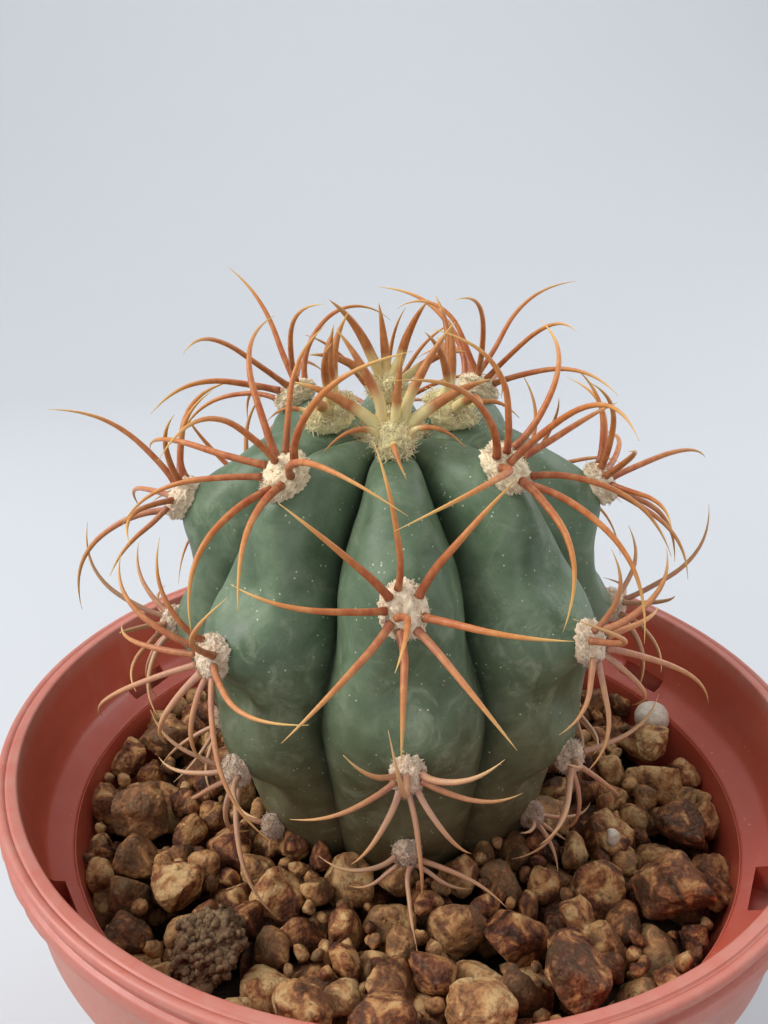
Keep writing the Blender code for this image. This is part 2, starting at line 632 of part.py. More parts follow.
def spine_path(areole, clock, lift, length, curl, swing):
    """Points along one spine from its areole's cushion to its tip."""
    start = math.radians(clock)
    across, level = SPINE_FOOT
    across *= areole.size * math.cos(math.radians(lift))
    point = areole.at(start, across, CUSHION_HEIGHT * level)
    points = [point]
    count = SPINE_STEPS * SPINE_FINE
    step = length * MM / count
    for k in range(count):
        bend = ((k + 0.5) / count) ** SPINE_CURVE
        rise = math.radians(lift - curl * bend)
        turn = start + math.radians(swing * bend)
        flat = areole.up * math.cos(turn) + areole.right * math.sin(turn)
        point = point + (flat * math.cos(rise) + areole.out * math.sin(rise)) * step
        if (k + 1) % SPINE_FINE == 0:
            points.append(point)
    return points


def spine_radius(areole, share):
    """Radius along a spine, from its thick foot to its point."""
    foot = YOUNG_SPINE_RADIUS if areole.young else SPINE_RADIUS
    lost, lateness = SPINE_TAPER
    return foot * (1 - lost * share**lateness)


class Clearance:
    """Keeps what is already in place, so that each new spine can be led past it."""

    def __init__(self, skin, areoles):
        self.skin = skin
        self.cushions = [
            (a.name, a.place + a.out * CUSHION_HEIGHT / 2, a.size * CUSHION_TALL) for a in areoles
        ]
        self.lumps = []
        self.starts = np.zeros((0, 3))
        self.ends = np.zeros((0, 3))
        self.owners = []

    def add_lump(self, centre, radius):
        self.lumps.append((Vector(centre), radius))

    def add_spine(self, owner, points):
        steps = np.array(points)
        self.starts = np.vstack([self.starts, steps[:-1]])
        self.ends = np.vstack([self.ends, steps[1:]])
        self.owners += [owner] * (len(steps) - 1)

    def inside_limits(self, point):
        """True above the gravel and inside the pot, or above the pot and no wider than it."""
        radius = math.hypot(point.x, point.y)
        if point.z < GRAVEL_TOP + GAP + SPINE_RADIUS:
            return False
        if point.z > POT_HEIGHT + WALL_CLEARANCE:
            return radius < RIM_RADIUS - EDGE_BREAK
        if point.z > LEDGE_TOP + WALL_CLEARANCE:
            return radius < LEDGE_OUTER - WALL_CLEARANCE
        return radius < inner_wall(min(point.z, LEDGE_LOW)) - WALL_CLEARANCE

    def is_free(self, areole, points):
        fine = [a.lerp(b, t) for a, b in zip(points, points[1:]) for t in (0.33, 0.67, 1.0)]
        near_skin = SPINE_RADIUS + SPINE_CLEARANCE
        near_lump = SPINE_RADIUS + GAP
        for k, point in enumerate(fine):
            if not self.inside_limits(point):
                return False
            foot, normal, _, distance = self.skin.find_nearest(point)
            inside = (point - foot).dot(normal) < 0
            if k > 0 and (inside or distance < near_skin):
                return False
            for name, centre, radius in self.cushions:
                if name != areole.name and (point - centre).length < radius + near_lump:
                    return False
            for centre, radius in self.lumps:
                if (point - centre).length < radius + near_lump:
                    return False
        return self.passes_spines(areole, points)

    def passes_spines(self, areole, points):
        """True if the path keeps away from every spine of the other areoles and its own."""
        if not self.owners:
            return True
        limit = 2 * SPINE_RADIUS + SPINE_CLEARANCE
        others = np.array([owner != areole.name for owner in self.owners])
        for k, (a, b) in enumerate(zip(points, points[1:])):
            own_limit = 0.6 * limit if k else 0.0
            distance = segment_distances(np.array(a), np.array(b), self.starts, self.ends)
            if (distance < np.where(others, limit, own_limit)).any():
                return False
        return True


def segment_distances(a, b, starts, ends):
    """Least distance from the segment a-b to each segment of a list, by sampling both."""
    t = np.linspace(0, 1, 9)
    own = a + (b - a) * t[:, None]
    theirs = starts[:, None, :] + (ends - starts)[:, None, :] * t[None, :, None]
    return np.linalg.norm(theirs[:, :, None, :] - own[None, None, :, :], axis=3).min(axis=(1, 2))


def free_spine(areole, clearance, clock, lift, length, curl, swing):
    """The spine as designed, or the nearest lift, turn and length at which it clears the rest."""
    for shorten in SHORTER:
        for raise_by in RAISED:
            for turn_by in TURNED:
                points = spine_path(areole, clock + turn_by, lift + raise_by,
                                    length * shorten, curl, swing)
                if clearance.is_free(areole, points):
                    return points
    return None


def cushion_mesh(areole):
    """The woolly cushion: a low dome whose band of triangles lets spines grow out of it."""
    made = bmesh.new()
    rings = []
    for across, level, shift in CUSHION_RINGS:
        ring = []
        for k in range(CUSHION_SIDES):
            clock = math.tau * (k + shift) / CUSHION_SIDES
            corner = areole.at(clock, areole.size * across, CUSHION_HEIGHT * level)
            ring.append(made.verts.new(corner))
        rings.append(ring)
    middle = made.verts.new(areole.at(0, 0, CUSHION_HEIGHT))
    made.faces.new(list(reversed(rings[0])))
    for level, (low, high) in enumerate(zip(rings, rings[1:])):
        ahead = level % 2
        for k in range(CUSHION_SIDES):
            following = (k + 1) % CUSHION_SIDES
            if ahead:
                made.faces.new((low[k], high[following], high[k]))
                made.faces.new((low[k], low[following], high[following]))
            else:
                made.faces.new((low[k], low[following], high[k]))
                made.faces.new((low[following], high[following], high[k]))
    for k in range(CUSHION_SIDES):
        made.faces.new((rings[2][k], rings[2][(k + 1) % CUSHION_SIDES], middle))
    bmesh.ops.recalc_face_normals(made, faces=made.faces)
    return made


def turn_between(first, second, side, over):
    """Signed angle from one offset to another, seen along a spine."""
    base = math.atan2(first.dot(over), first.dot(side))
    other = math.atan2(second.dot(over), second.dot(side))
    return (other - base + math.pi) % math.tau - math.pi


def grow_spine(made, areole, points):
    """Draws a free face of the cushion out along the path and closes it in a point."""
    heading = (points[1] - points[0]).normalized()
    usable = [f for f in made.faces if len(f.verts) == 3 and f.tag and f.normal.dot(areole.out) > 0.05]
    facing = 0.002  # how strongly a face that looks along the spine is preferred
    score = [
        (f.calc_center_median() - points[0]).length - facing * f.normal.dot(heading) for f in usable
    ]
    face = usable[int(np.argmin(score))]
    face.tag = False
    last = len(points) - 1
    for k, point in enumerate(points[1:], start=1):
        ahead = (points[min(k + 1, last)] - points[k - 1]).normalized()
        steep = abs(ahead.dot(areole.out)) > 0.9
        side = ahead.cross(areole.up if steep else areole.out).normalized()
        over = side.cross(ahead)
        face = bmesh.ops.extrude_discrete_faces(made, faces=[face])["faces"][0]
        face.tag = False
        corners = list(face.verts)
        middle = face.calc_center_median()
        first, second = corners[0].co - middle, corners[1].co - middle
        base = math.atan2(first.dot(over), first.dot(side))
        sense = math.copysign(1, turn_between(first, second, side, over))
        radius = spine_radius(areole, k / last)
        for n, corner in enumerate(corners):
            angle = base + sense * n * math.tau / 3
            corner.co = point + (side * math.cos(angle) + over * math.sin(angle)) * radius
    bmesh.ops.pointmerge(made, verts=list(face.verts), merge_co=points[-1])


def build_areoles(stem, lumps):
    areoles = all_areoles()
    skin = BVHTree.FromPolygons([v.co for v in stem.data.vertices],
                                [tuple(p.vertices) for p in stem.data.polygons])
    for areole in areoles:
        areole.seat_on(skin)
    clearance = Clearance(skin, areoles)
    for centre, radius in lumps:
        clearance.add_lump(centre, radius)
    paths = {}
    for areole in areoles:
        dice = random.Random(areole.name)
        own = OWN_STARS.get(areole.name)
        paths[areole.name] = []
        for clock, lift, length, curl, swing in own or STARS[areole.star]:
            if not own:
                clock += dice.uniform(-STAR_TURN, STAR_TURN)
                lift += dice.uniform(-STAR_LIFT, STAR_LIFT)
                length *= dice.uniform(1 - STAR_LENGTH, 1 + STAR_LENGTH)
            points = free_spine(areole, clearance, clock, lift, length, curl, swing)
            if points:
                clearance.add_spine(areole.name, points)
                paths[areole.name].append(points)
    for areole in areoles:
        made = cushion_mesh(areole)
        for face in made.faces:
            face.tag = True
        for points in paths[areole.name]:
            grow_spine(made, areole, points)
        add_object(areole.name, made, "spines", 50)


def main():
    clear_scene()
    build_pot()
    build_mix()
    build_gravel_bed()
    stem = build_stem()
    loose = []
    for name, shape in STONES.items():
        loose.append(build_stone(name, *shape, "gravel", STONE_ROUGHNESS))
    loose.append(build_stone("soil_clump", *SOIL_CLUMP, "soil", SOIL_ROUGHNESS))
    loose.append(build_stone("white_bead", *WHITE_BEAD, "bead", BEAD_ROUGHNESS))
    lumps = []
    for obj in loose:
        points = [v.co for v in obj.data.vertices]
        centre = sum(points, Vector()) / len(points)
        lumps.append((centre, max((p - centre).length for p in points)))
    build_areoles(stem, lumps)


main()
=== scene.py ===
"""Detailed look of a potted round cactus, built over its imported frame. Metres, +Z up, -Y front."""
import itertools
import math
import random

import bmesh
import bpy
import numpy as np
from mathutils import Euler, Matrix, Vector


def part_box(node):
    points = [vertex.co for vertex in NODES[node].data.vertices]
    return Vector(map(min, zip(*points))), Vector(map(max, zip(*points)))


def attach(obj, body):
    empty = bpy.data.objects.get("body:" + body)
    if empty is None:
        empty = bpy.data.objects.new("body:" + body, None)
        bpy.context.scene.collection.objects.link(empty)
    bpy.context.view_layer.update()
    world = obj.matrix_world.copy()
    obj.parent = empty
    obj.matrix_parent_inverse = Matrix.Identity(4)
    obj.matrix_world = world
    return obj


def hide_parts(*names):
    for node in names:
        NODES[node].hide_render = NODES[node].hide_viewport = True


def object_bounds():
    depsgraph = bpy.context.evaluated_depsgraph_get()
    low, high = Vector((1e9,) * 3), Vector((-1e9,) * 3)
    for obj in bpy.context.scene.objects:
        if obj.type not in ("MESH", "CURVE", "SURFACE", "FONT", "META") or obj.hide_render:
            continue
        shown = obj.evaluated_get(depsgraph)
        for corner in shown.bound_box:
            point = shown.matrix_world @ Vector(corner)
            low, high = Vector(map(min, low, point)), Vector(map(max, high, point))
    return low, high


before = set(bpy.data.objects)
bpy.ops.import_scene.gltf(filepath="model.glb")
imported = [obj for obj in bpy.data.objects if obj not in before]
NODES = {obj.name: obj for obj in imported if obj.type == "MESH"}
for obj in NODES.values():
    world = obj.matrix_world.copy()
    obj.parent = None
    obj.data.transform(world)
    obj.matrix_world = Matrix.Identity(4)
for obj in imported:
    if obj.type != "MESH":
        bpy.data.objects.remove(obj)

CAD_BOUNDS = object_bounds()
MM = 0.001

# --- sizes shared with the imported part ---

POT_HEIGHT = 0.090
RIM_RADIUS = 0.060
RIM_INNER = 0.0570
LEDGE_OUTER = 0.0550
LEDGE_INNER = 0.0509
LEDGE_LOW = POT_HEIGHT - 0.0136
LEDGE_THICK = 0.0016
WALL_TOP = (0.0542, POT_HEIGHT - 0.0222)
FOOT_RADIUS = 0.038
FOOT_HEIGHT = 0.0018
FLOOR_TOP = 0.0040
FLOOR_EDGE = 0.0355
POCKETS = 6
POCKET_SIZE = (0.009, 0.0026, 0.0056)
POCKET_SPOT = (0, -0.0539, LEDGE_LOW - 0.0002)
POCKET_TURN = 2.5  # degrees
DRAIN_HOLES = 6
DRAIN_CIRCLE = 0.022
DRAIN_RADIUS = 0.0025
BED_DEPTH = 0.0075
BED_LOW = POT_HEIGHT - 0.028
GRAVEL_TOP = 0.072
STEM_HEIGHT = 0.0635
STEM_RADIUS = 0.034
STEM_ROOT = 0.014
RIBS = 8
RIB_TURN = 2.2  # degrees
RIB_NOTCH = (0.0036, 0.0044, 0.0056, 0.0046, 0.0046, 0.0046, 0.0056, 0.0050)
VALLEY_SWAY = 2.2  # degrees
CROWN_DIP = 0.960
EVEN_TIERS = (0.181, 0.496, 0.831)
ODD_TIERS = (0.118, 0.354, 0.669, 0.976)
EVEN_TILT = (-12, 3, 33)
ODD_TILT = (-12, -6, 14, 50)
CROWN_TILT = 62
CUSHION_TALL = 1.22
WHITE_CHIP = (0.0305, -0.0135)
WHITE_GRAIN = (0.0446, 0.0176, 0.0762)
WHITE_GRAIN_RADIUS = 0.0030
CREST = (
    (0.720, -0.016), (0.780, 0.095), (0.853, 0.220), (0.941, 0.354), (0.991, 0.488),
    (1.000, 0.606), (0.971, 0.716), (0.891, 0.819), (0.765, 0.906), (0.603, 0.969),
    (0.412, 1.000), (0.235, 0.997), (0.103, 0.975),
)
VALLEY = (
    (0.632, -0.016), (0.682, 0.095), (0.729, 0.220), (0.765, 0.346), (0.776, 0.472),
    (0.729, 0.583), (0.632, 0.693), (0.500, 0.787), (0.368, 0.858), (0.294, 0.906),
    (0.250, 0.945), (0.176, 0.961), (0.088, 0.961),
)
ROOT_CREST = ((0.588, -0.50), (0.353, -0.86))
TIERS_END = 1.3  # where the next areole above the crown would come, in stem heights
ODD_AGES = (1.0, 0.82, 0.5, 0.3)
EVEN_AGES = (0.92, 0.62, 0.38)
RIB_NAMES = (
    "front", "front_right", "right", "back_right", "back", "back_left", "left", "front_left",
)
STEM_LEAN = Euler((math.radians(7.7), math.radians(-1.8), 0), "XYZ").to_matrix()
STEM_SPOT = (-0.0012, 0.0093, GRAVEL_TOP)
STEM_FRAME = Matrix.Translation(STEM_SPOT) @ STEM_LEAN.to_4x4()


# --- small tools ---


def unit(vectors):
    return vectors / np.maximum(np.linalg.norm(vectors, axis=-1, keepdims=True), 1e-12)


def around(radius, turn, height):
    """Points about the vertical axis; turn runs from the front (-Y) towards +X."""
    x, y = radius * np.sin(turn), -radius * np.cos(turn)
    return np.stack(np.broadcast_arrays(x, y, height), axis=-1)


def full_turn(columns):
    return np.arange(columns) * math.tau / columns


def box_ends(name):
    """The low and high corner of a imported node's box."""
    low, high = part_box(name)
    return np.array(low), np.array(high)


def filling(verts, low, high):
    """A shape stretched to fill a box."""
    share = (verts - verts.min(axis=0)) / np.ptp(verts, axis=0)
    return low + share * (high - low)


def places_of(mesh):
    places = np.empty(len(mesh.vertices) * 3)
    mesh.vertices.foreach_get("co", places)
    return places.reshape(-1, 3)


def lattice_noise(points, seed):
    """Smooth gradient noise, about -1 to 1, at an array of points."""
    cell = np.floor(points).astype(np.int64)
    part = points - cell
    ease = part**3 * (part * (part * 6 - 15) + 10)
    total = np.zeros(len(points))
    for corner in itertools.product((0, 1), repeat=3):
        at = cell + corner
        code = at[:, 0] * 374761393 + at[:, 1] * 668265263 + at[:, 2] * 1442695041 + seed * 97531
        code = ((code ^ (code >> 13)) * 1274126177) & 0xFFFFFFFF
        code ^= code >> 16
        parts = [code & 1023, (code >> 10) & 1023, (code >> 20) & 1023]
        slope = np.stack(parts, axis=1) / 511.5 - 1
        weight = np.prod(np.where(np.array(corner) == 1, ease, 1 - ease), axis=1)
        total += weight * (slope * (part - corner)).sum(axis=1)
    return total * 1.5


def fractal(points, width, seed, octaves=3, fall=0.5):
    """Several sizes of noise added up; width is that of the largest lumps."""
    total, scale, share = 0, 1 / width, 1.0
    for k in range(octaves):
        total = total + share * lattice_noise(points * scale + 17.3 * k, seed + k)
        scale, share = scale * 2.1, share * fall
    return total


def spline(points, count):
    """A smooth curve through points, with its ends carrying on the bend."""
    points = np.asarray(points, float)
    first = 3 * points[0] - 3 * points[1] + points[2]
    last = 3 * points[-1] - 3 * points[-2] + points[-3]
    full = np.vstack([first, points, last])
    t = np.linspace(0, len(points) - 1, count)
    k = np.minimum(t.astype(int), len(points) - 2)
    u = (t - k)[:, None]
    a, b, c, d = full[k], full[k + 1], full[k + 2], full[k + 3]
    return b + 0.5 * u * (c - a + u * (2 * a - 5 * b + 4 * c - d + u * (3 * (b - c) + d - a)))


class Bag:
    """Collects closed shells, with a value per vertex for the material, into one object."""

    def __init__(self):
        self.verts, self.faces, self.values, self.count = [], [], {}, 0

    def add(self, verts, faces, **values):
        self.verts.append(np.asarray(verts, float))
        self.faces.append(np.asarray(faces, np.int64) + self.count)
        for name, value in values.items():
            filled = np.broadcast_to(np.asarray(value, float), (len(verts),))
            self.values.setdefault(name, []).append(filled)
        self.count += len(verts)

    def build(self, name, material, slot, replaces=()):
        verts, faces = np.concatenate(self.verts), np.concatenate(self.faces)
        mesh = bpy.data.meshes.new(name)
        mesh.vertices.add(len(verts))
        mesh.vertices.foreach_set("co", verts.astype(np.float32).ravel())
        mesh.loops.add(faces.size)
        mesh.loops.foreach_set("vertex_index", faces.astype(np.int32).ravel())
        mesh.polygons.add(len(faces))
        mesh.polygons.foreach_set("loop_start", np.arange(0, faces.size, 3, dtype=np.int32))
        mesh.update(calc_edges=True)
        mesh.shade_smooth()
        for key, parts in self.values.items():
            layer = mesh.attributes.new(key, "FLOAT", "POINT")
            layer.data.foreach_set("value", np.concatenate(parts).astype(np.float32))
        mesh.materials.append(material)
        obj = bpy.data.objects.new(name, mesh)
        bpy.context.scene.collection.objects.link(obj)
        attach(obj, "root")
        if replaces:
            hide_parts(*replaces)
        return obj


def build_shell(name, material, slot, replaces, verts, faces, **values):
    """An object of one closed shell."""
    bag = Bag()
    bag.add(verts, faces, **values)
    return bag.build(name, material, slot, replaces)


def grid_faces(rows, columns):
    """Triangles between the rings of a closed grid, row by row."""
    k = np.arange(columns)
    following = (k + 1) % columns
    faces = []
    for row in range(rows - 1):
        low, high = row * columns, (row + 1) * columns
        faces.append(np.stack([low + k, low + following, high + following], axis=1))
        faces.append(np.stack([low + k, high + following, high + k], axis=1))
    return np.concatenate(faces)


def closed_grid(rings, bottom, top):
    """A closed body from rings of points, from the bottom point up to the top one."""
    rings = np.asarray(rings)
    rows, columns = rings.shape[:2]
    verts = np.vstack([rings.reshape(-1, 3), [bottom, top]])
    k = np.arange(columns)
    following = (k + 1) % columns
    base, peak = rows * columns, rows * columns + 1
    last = (rows - 1) * columns
    floor = np.stack([np.full(columns, base), following, k], axis=1)
    roof = np.stack([np.full(columns, peak), last + k, last + following], axis=1)
    return verts, np.concatenate([grid_faces(rows, columns), floor, roof])


def tube(path, radii, sides):
    """A closed tapered tube round a path, and each vertex's place along it."""
    heading = unit(np.gradient(path, axis=0))
    side = np.cross(heading[0], (0.3, 0.2, 0.93))
    frames = []
    for direction in heading:
        side = side - direction * side.dot(direction)
        side = side / np.linalg.norm(side)
        frames.append((side, np.cross(direction, side)))
    frames = np.array(frames)
    turn = np.arange(sides) * math.tau / sides
    wave = np.stack([np.cos(turn), np.sin(turn)], axis=1)
    rings = path[:, None] + radii[:, None, None] * np.einsum("kc,ncd->nkd", wave, frames)
    verts, faces = closed_grid(rings, path[0], path[-1])
    along = np.append(np.repeat(np.linspace(0, 1, len(path)), sides), [0, 1])
    return verts, faces, along


def ball(subdivisions):
    """Vertices and triangles of a unit sphere."""
    made = bmesh.new()
    bmesh.ops.create_icosphere(made, subdivisions=subdivisions, radius=1)
    verts = np.array([v.co for v in made.verts])
    faces = np.array([[v.index for v in f.verts] for f in made.faces])
    made.free()
    return verts, faces


BALLS = {k: ball(k) for k in (2, 3, 4, 5)}


# --- materials ---


def rgb(red, green, blue):
    """A display colour, 0 to 255, as the linear colour that shaders take."""
    parts = [c / 255 for c in (red, green, blue)]
    linear = (c / 12.92 if c <= 0.04045 else ((c + 0.055) / 1.055) ** 2.4 for c in parts)
    return (*linear, 1.0)


class Paint:
    """A Principled material put together from procedural nodes, measured in millimetres."""

    def __init__(self, name, roughness, specular=0.5):
        self.material = bpy.data.materials.new(name)
        self.material.use_nodes = True
        self.tree = self.material.node_tree
        self.shader = self.tree.nodes["Principled BSDF"]
        self.shader.inputs["Roughness"].default_value = roughness
        self.shader.inputs["Specular IOR Level"].default_value = specular
        place = self.tree.nodes.new("ShaderNodeTexCoord").outputs["Object"]
        scale = self.tree.nodes.new("ShaderNodeVectorMath")
        scale.operation = "SCALE"
        scale.inputs["Scale"].default_value = 1 / MM
        self.feed(scale.inputs[0], place)
        self.place = scale.outputs[0]

    def feed(self, socket, value):
        if isinstance(value, bpy.types.NodeSocket):
            self.tree.links.new(value, socket)
        else:
            socket.default_value = value

    def value(self, name):
        node = self.tree.nodes.new("ShaderNodeAttribute")
        node.attribute_name = name
        return node.outputs["Fac"]

    def math(self, operation, first, second=0.0):
        node = self.tree.nodes.new("ShaderNodeMath")
        node.operation = operation
        self.feed(node.inputs[0], first)
        self.feed(node.inputs[1], second)
        return node.outputs[0]

    def both(self, first, second):
        return self.math("MULTIPLY", first, second)

    def stretched(self, x, y, z):
        node = self.tree.nodes.new("ShaderNodeVectorMath")
        node.operation = "MULTIPLY"
        self.feed(node.inputs[0], self.place)
        node.inputs[1].default_value = (x, y, z)
        return node.outputs[0]

    def noise(self, width, detail=3.0, roughness=0.5, warp=0.0, place=None):
        node = self.tree.nodes.new("ShaderNodeTexNoise")
        self.feed(node.inputs["Vector"], place or self.place)
        node.inputs["Scale"].default_value = 1 / width
        node.inputs["Detail"].default_value = detail
        node.inputs["Roughness"].default_value = roughness
        node.inputs["Distortion"].default_value = warp
        return node.outputs["Fac"]

    def cells(self, width):
        node = self.tree.nodes.new("ShaderNodeTexVoronoi")
        self.feed(node.inputs["Vector"], self.place)
        node.inputs["Scale"].default_value = 1 / width
        return node.outputs["Distance"]

    def range(self, value, low, high, to_low=0.0, to_high=1.0):
        node = self.tree.nodes.new("ShaderNodeMapRange")
        self.feed(node.inputs["Value"], value)
        ends = {"From Min": low, "From Max": high, "To Min": to_low, "To Max": to_high}
        for key, number in ends.items():
            node.inputs[key].default_value = number
        return node.outputs["Result"]

    def ramp(self, value, stops):
        """Colours along a value; each stop is a place and a display colour."""
        node = self.tree.nodes.new("ShaderNodeValToRGB")
        self.feed(node.inputs["Fac"], value)
        ends = node.color_ramp.elements
        while len(ends) < len(stops):
            ends.new(0.5)
        for element, (position, color) in zip(ends, stops):
            element.position = position
            element.color = rgb(*color)
        return node.outputs["Color"]

    def mix(self, factor, first, second):
        """From the first colour to the second, which may be a plain display colour."""
        node = self.tree.nodes.new("ShaderNodeMix")
        node.data_type = "RGBA"
        self.feed(node.inputs["Factor"], factor)
        self.feed(node.inputs[6], first)
        self.feed(node.inputs[7], rgb(*second) if isinstance(second, tuple) else second)
        return node.outputs[2]

    def finish(self, color, rough=None, height=None, depth=0.1, strength=1.0):
        """Sets the colour, the roughness and a bump; depth is the relief in millimetres."""
        self.feed(self.shader.inputs["Base Color"], color)
        if rough is not None:
            self.feed(self.shader.inputs["Roughness"], rough)
        if height is not None:
            node = self.tree.nodes.new("ShaderNodeBump")
            node.inputs["Strength"].default_value = strength
            node.inputs["Distance"].default_value = depth * MM
            self.feed(node.inputs["Height"], height)
            self.feed(self.shader.inputs["Normal"], node.outputs["Normal"])
        return self.material


STEM_TONES = ((0.30, (74, 93, 68)), (0.50, (94, 115, 88)), (0.70, (116, 135, 108)))
STEM_LOW_TONES = ((0.30, (84, 84, 60)), (0.52, (102, 103, 76)), (0.72, (122, 121, 92)))
STEM_BLOOM = (164, 174, 146)
# painted shade for the rib valleys
STEM_PAINTED_SHADE = (34, 48, 34)
STEM_CORK = (98, 80, 54)
STEM_DOTS = (214, 216, 192)
STEM_SCARS = (178, 156, 112)
STEM_SCATTER = (0.002, 0.003, 0.001)

SPINE_FRESH = (
    (0.0, (236, 234, 180)), (0.30, (232, 224, 160)), (0.42, (170, 100, 50)),
    (0.80, (178, 112, 58)), (1.0, (222, 186, 112)),
)
SPINE_RIPE = (
    (0.0, (146, 74, 46)), (0.30, (184, 98, 52)), (0.70, (206, 132, 66)), (0.95, (230, 192, 112)),
)
SPINE_WORN = ((0.0, (176, 140, 120)), (0.5, (204, 166, 136)), (0.95, (216, 178, 132)))
SPINE_PALE = ((0.1, (206, 166, 146)), (0.9, (212, 168, 116)))
SPINE_RED = (158, 74, 42)
SPINE_STREAK = (226, 170, 104)
SPINE_RINGS = 9.0  # radians of the ring wave in a millimetre

WOOL_TONES = (
    (0.0, (244, 234, 176)), (0.22, (242, 228, 184)), (0.38, (240, 220, 190)),
    (0.7, (226, 202, 178)), (1.0, (180, 156, 138)),
)
WOOL_STAIN = (200, 158, 118)
WOOL_TIPS = (252, 244, 224)

GRAIN_TONES = (
    (0.31, (50, 25, 16)), (0.43, (94, 49, 31)), (0.52, (138, 84, 51)),
    (0.60, (178, 126, 77)), (0.73, (204, 170, 120)),
)
GRAIN_PALE = (194, 158, 108)
GRAIN_RUST = (76, 34, 20)
GRAIN_DUST = (214, 184, 138)

SOIL_FLECK = (168, 150, 122)
BED_SOIL = ((24, 18, 15), (62, 46, 35))
OLD_SOIL = ((82, 62, 46), (152, 124, 94))
MIX_SOIL = ((26, 20, 16), (70, 54, 42))
BEAD_TONES = ((0.3, (204, 190, 168)), (0.6, (238, 230, 214)))

POT_TONES = ((0.3, (180, 76, 57)), (0.7, (194, 90, 69)))
# pale dust colour, also used for the painted highlight along the top of the rim
POT_CHALK_AND_HIGHLIGHT = (190, 156, 142)
POT_FILM = (206, 170, 158)
POT_SPECKS = (232, 208, 196)
PAPER = (194, 197, 201)
PAPER_SHADE = (188, 191, 195)


def stem_skin_material():
    p = Paint("stem_skin", 0.5, 0.4)
    level, valley = p.value("level"), p.value("valley")
    patches = p.noise(6, 5, 0.62, 0.5)
    fresh, old = p.ramp(patches, STEM_TONES), p.ramp(patches, STEM_LOW_TONES)
    color = p.mix(p.range(level, 0.70, 0.15), fresh, old)
    haze = p.range(p.noise(4, 7, 0.7, 0.8), 0.50, 0.72)
    bloom = p.both(haze, p.range(p.noise(15, 2), 0.40, 0.60))
    color = p.mix(p.both(bloom, 0.6), color, STEM_BLOOM)
    # Painted shade: the deeper a point lies in a rib valley, the darker it is painted, less so near
    # the base.
    painted_valley_shade = p.both(p.range(valley, 0.55, 1.0, 0.0, 0.8), p.range(level, 0.05, 0.45, 0.3, 1.0))
    color = p.mix(painted_valley_shade, color, STEM_PAINTED_SHADE)
    cork = p.both(p.range(level, 0.34, 0.02), p.range(p.noise(4, 5, 0.7), 0.36, 0.60))
    color = p.mix(p.both(cork, 0.8), color, STEM_CORK)
    dots = p.both(p.range(p.cells(0.9), 0.17, 0.09), p.range(p.noise(2.6, 1), 0.53, 0.62))
    color = p.mix(p.both(dots, 0.8), color, STEM_DOTS)
    marks = p.range(p.noise(1.4, 6, 0.75, 2.0), 0.64, 0.71)
    scars = p.both(marks, p.range(p.noise(8, 1), 0.54, 0.63))
    color = p.mix(p.both(scars, 0.7), color, STEM_SCARS)
    height = p.math("ADD", p.noise(0.35, 2), p.both(p.noise(2.2, 3), 1.4))
    p.shader.inputs["Subsurface Weight"].default_value = 0.06
    p.shader.inputs["Subsurface Radius"].default_value = STEM_SCATTER
    return p.finish(color, p.range(patches, 0.3, 0.7, 0.40, 0.58), height, 0.06, 0.6)


def spine_material():
    p = Paint("spine_horn", 0.45, 0.4)
    along, age, tint, pale = p.value("along"), p.value("age"), p.value("tint"), p.value("pale")
    streak = p.noise(1.1, 3, 0.6, 0.0, p.stretched(1, 1, 0.5))
    color = p.mix(p.range(age, 0.0, 0.25), p.ramp(along, SPINE_FRESH), p.ramp(along, SPINE_RIPE))
    color = p.mix(p.range(age, 0.46, 0.74), color, p.ramp(along, SPINE_WORN))
    color = p.mix(p.both(pale, 0.9), color, p.ramp(along, SPINE_PALE))
    color = p.mix(p.range(tint, 0.0, 1.0, 0.0, 0.3), color, SPINE_RED)
    color = p.mix(p.range(streak, 0.40, 0.68, 0.0, 0.35), color, SPINE_STREAK)
    rings = p.math("SINE", p.both(p.value("reach"), SPINE_RINGS))
    height = p.math("ADD", p.both(rings, 0.25), p.noise(0.3, 2))
    return p.finish(color, None, height, 0.04, 0.5)


def wool_material():
    p = Paint("areole_wool", 0.95, 0.15)
    color = p.ramp(p.value("age"), WOOL_TONES)
    color = p.mix(p.range(p.noise(0.9, 4), 0.42, 0.66, 0.0, 0.5), color, WOOL_STAIN)
    color = p.mix(p.range(p.value("tint"), 0.0, 1.0, 0.0, 0.4), color, WOOL_TIPS)
    p.shader.inputs["Sheen Weight"].default_value = 0.3
    return p.finish(color, None, p.noise(0.22, 2), 0.10, 0.9)


def gravel_material():
    p = Paint("gravel_grain", 0.8, 0.3)
    tint, shade = p.value("tint"), p.value("shade")
    grain = p.noise(3.0, 5, 0.60, 0.8)
    strong = p.range(grain, 0.30, 0.70, 0.22, 0.80)
    mottled = p.math("ADD", strong, p.both(p.math("SUBTRACT", tint, 0.48), 0.24))
    color = p.mix(p.range(shade, 0.0, 1.0, 0.0, 0.4), p.ramp(mottled, GRAIN_TONES), GRAIN_PALE)
    rust = p.range(p.noise(1.8, 6, 0.72, 0.9), 0.50, 0.64)
    color = p.mix(p.both(rust, 0.7), color, GRAIN_RUST)
    dust = p.range(p.noise(0.5, 3), 0.5, 0.75)
    color = p.mix(p.both(dust, 0.16), color, GRAIN_DUST)
    pits = p.range(p.cells(0.8), 0.0, 0.4)
    height = p.math("ADD", p.both(pits, 0.6), p.noise(0.9, 5, 0.65))
    return p.finish(color, p.range(grain, 0.3, 0.7, 0.55, 0.88), height, 0.28, 0.8)


def soil_material(name, tones):
    p = Paint(name, 0.95, 0.2)
    dark, light = tones
    color = p.ramp(p.noise(0.9, 6, 0.75), ((0.35, dark), (0.62, light), (0.74, SOIL_FLECK)))
    return p.finish(color, None, p.noise(0.5, 6, 0.7), 0.35, 1.0)


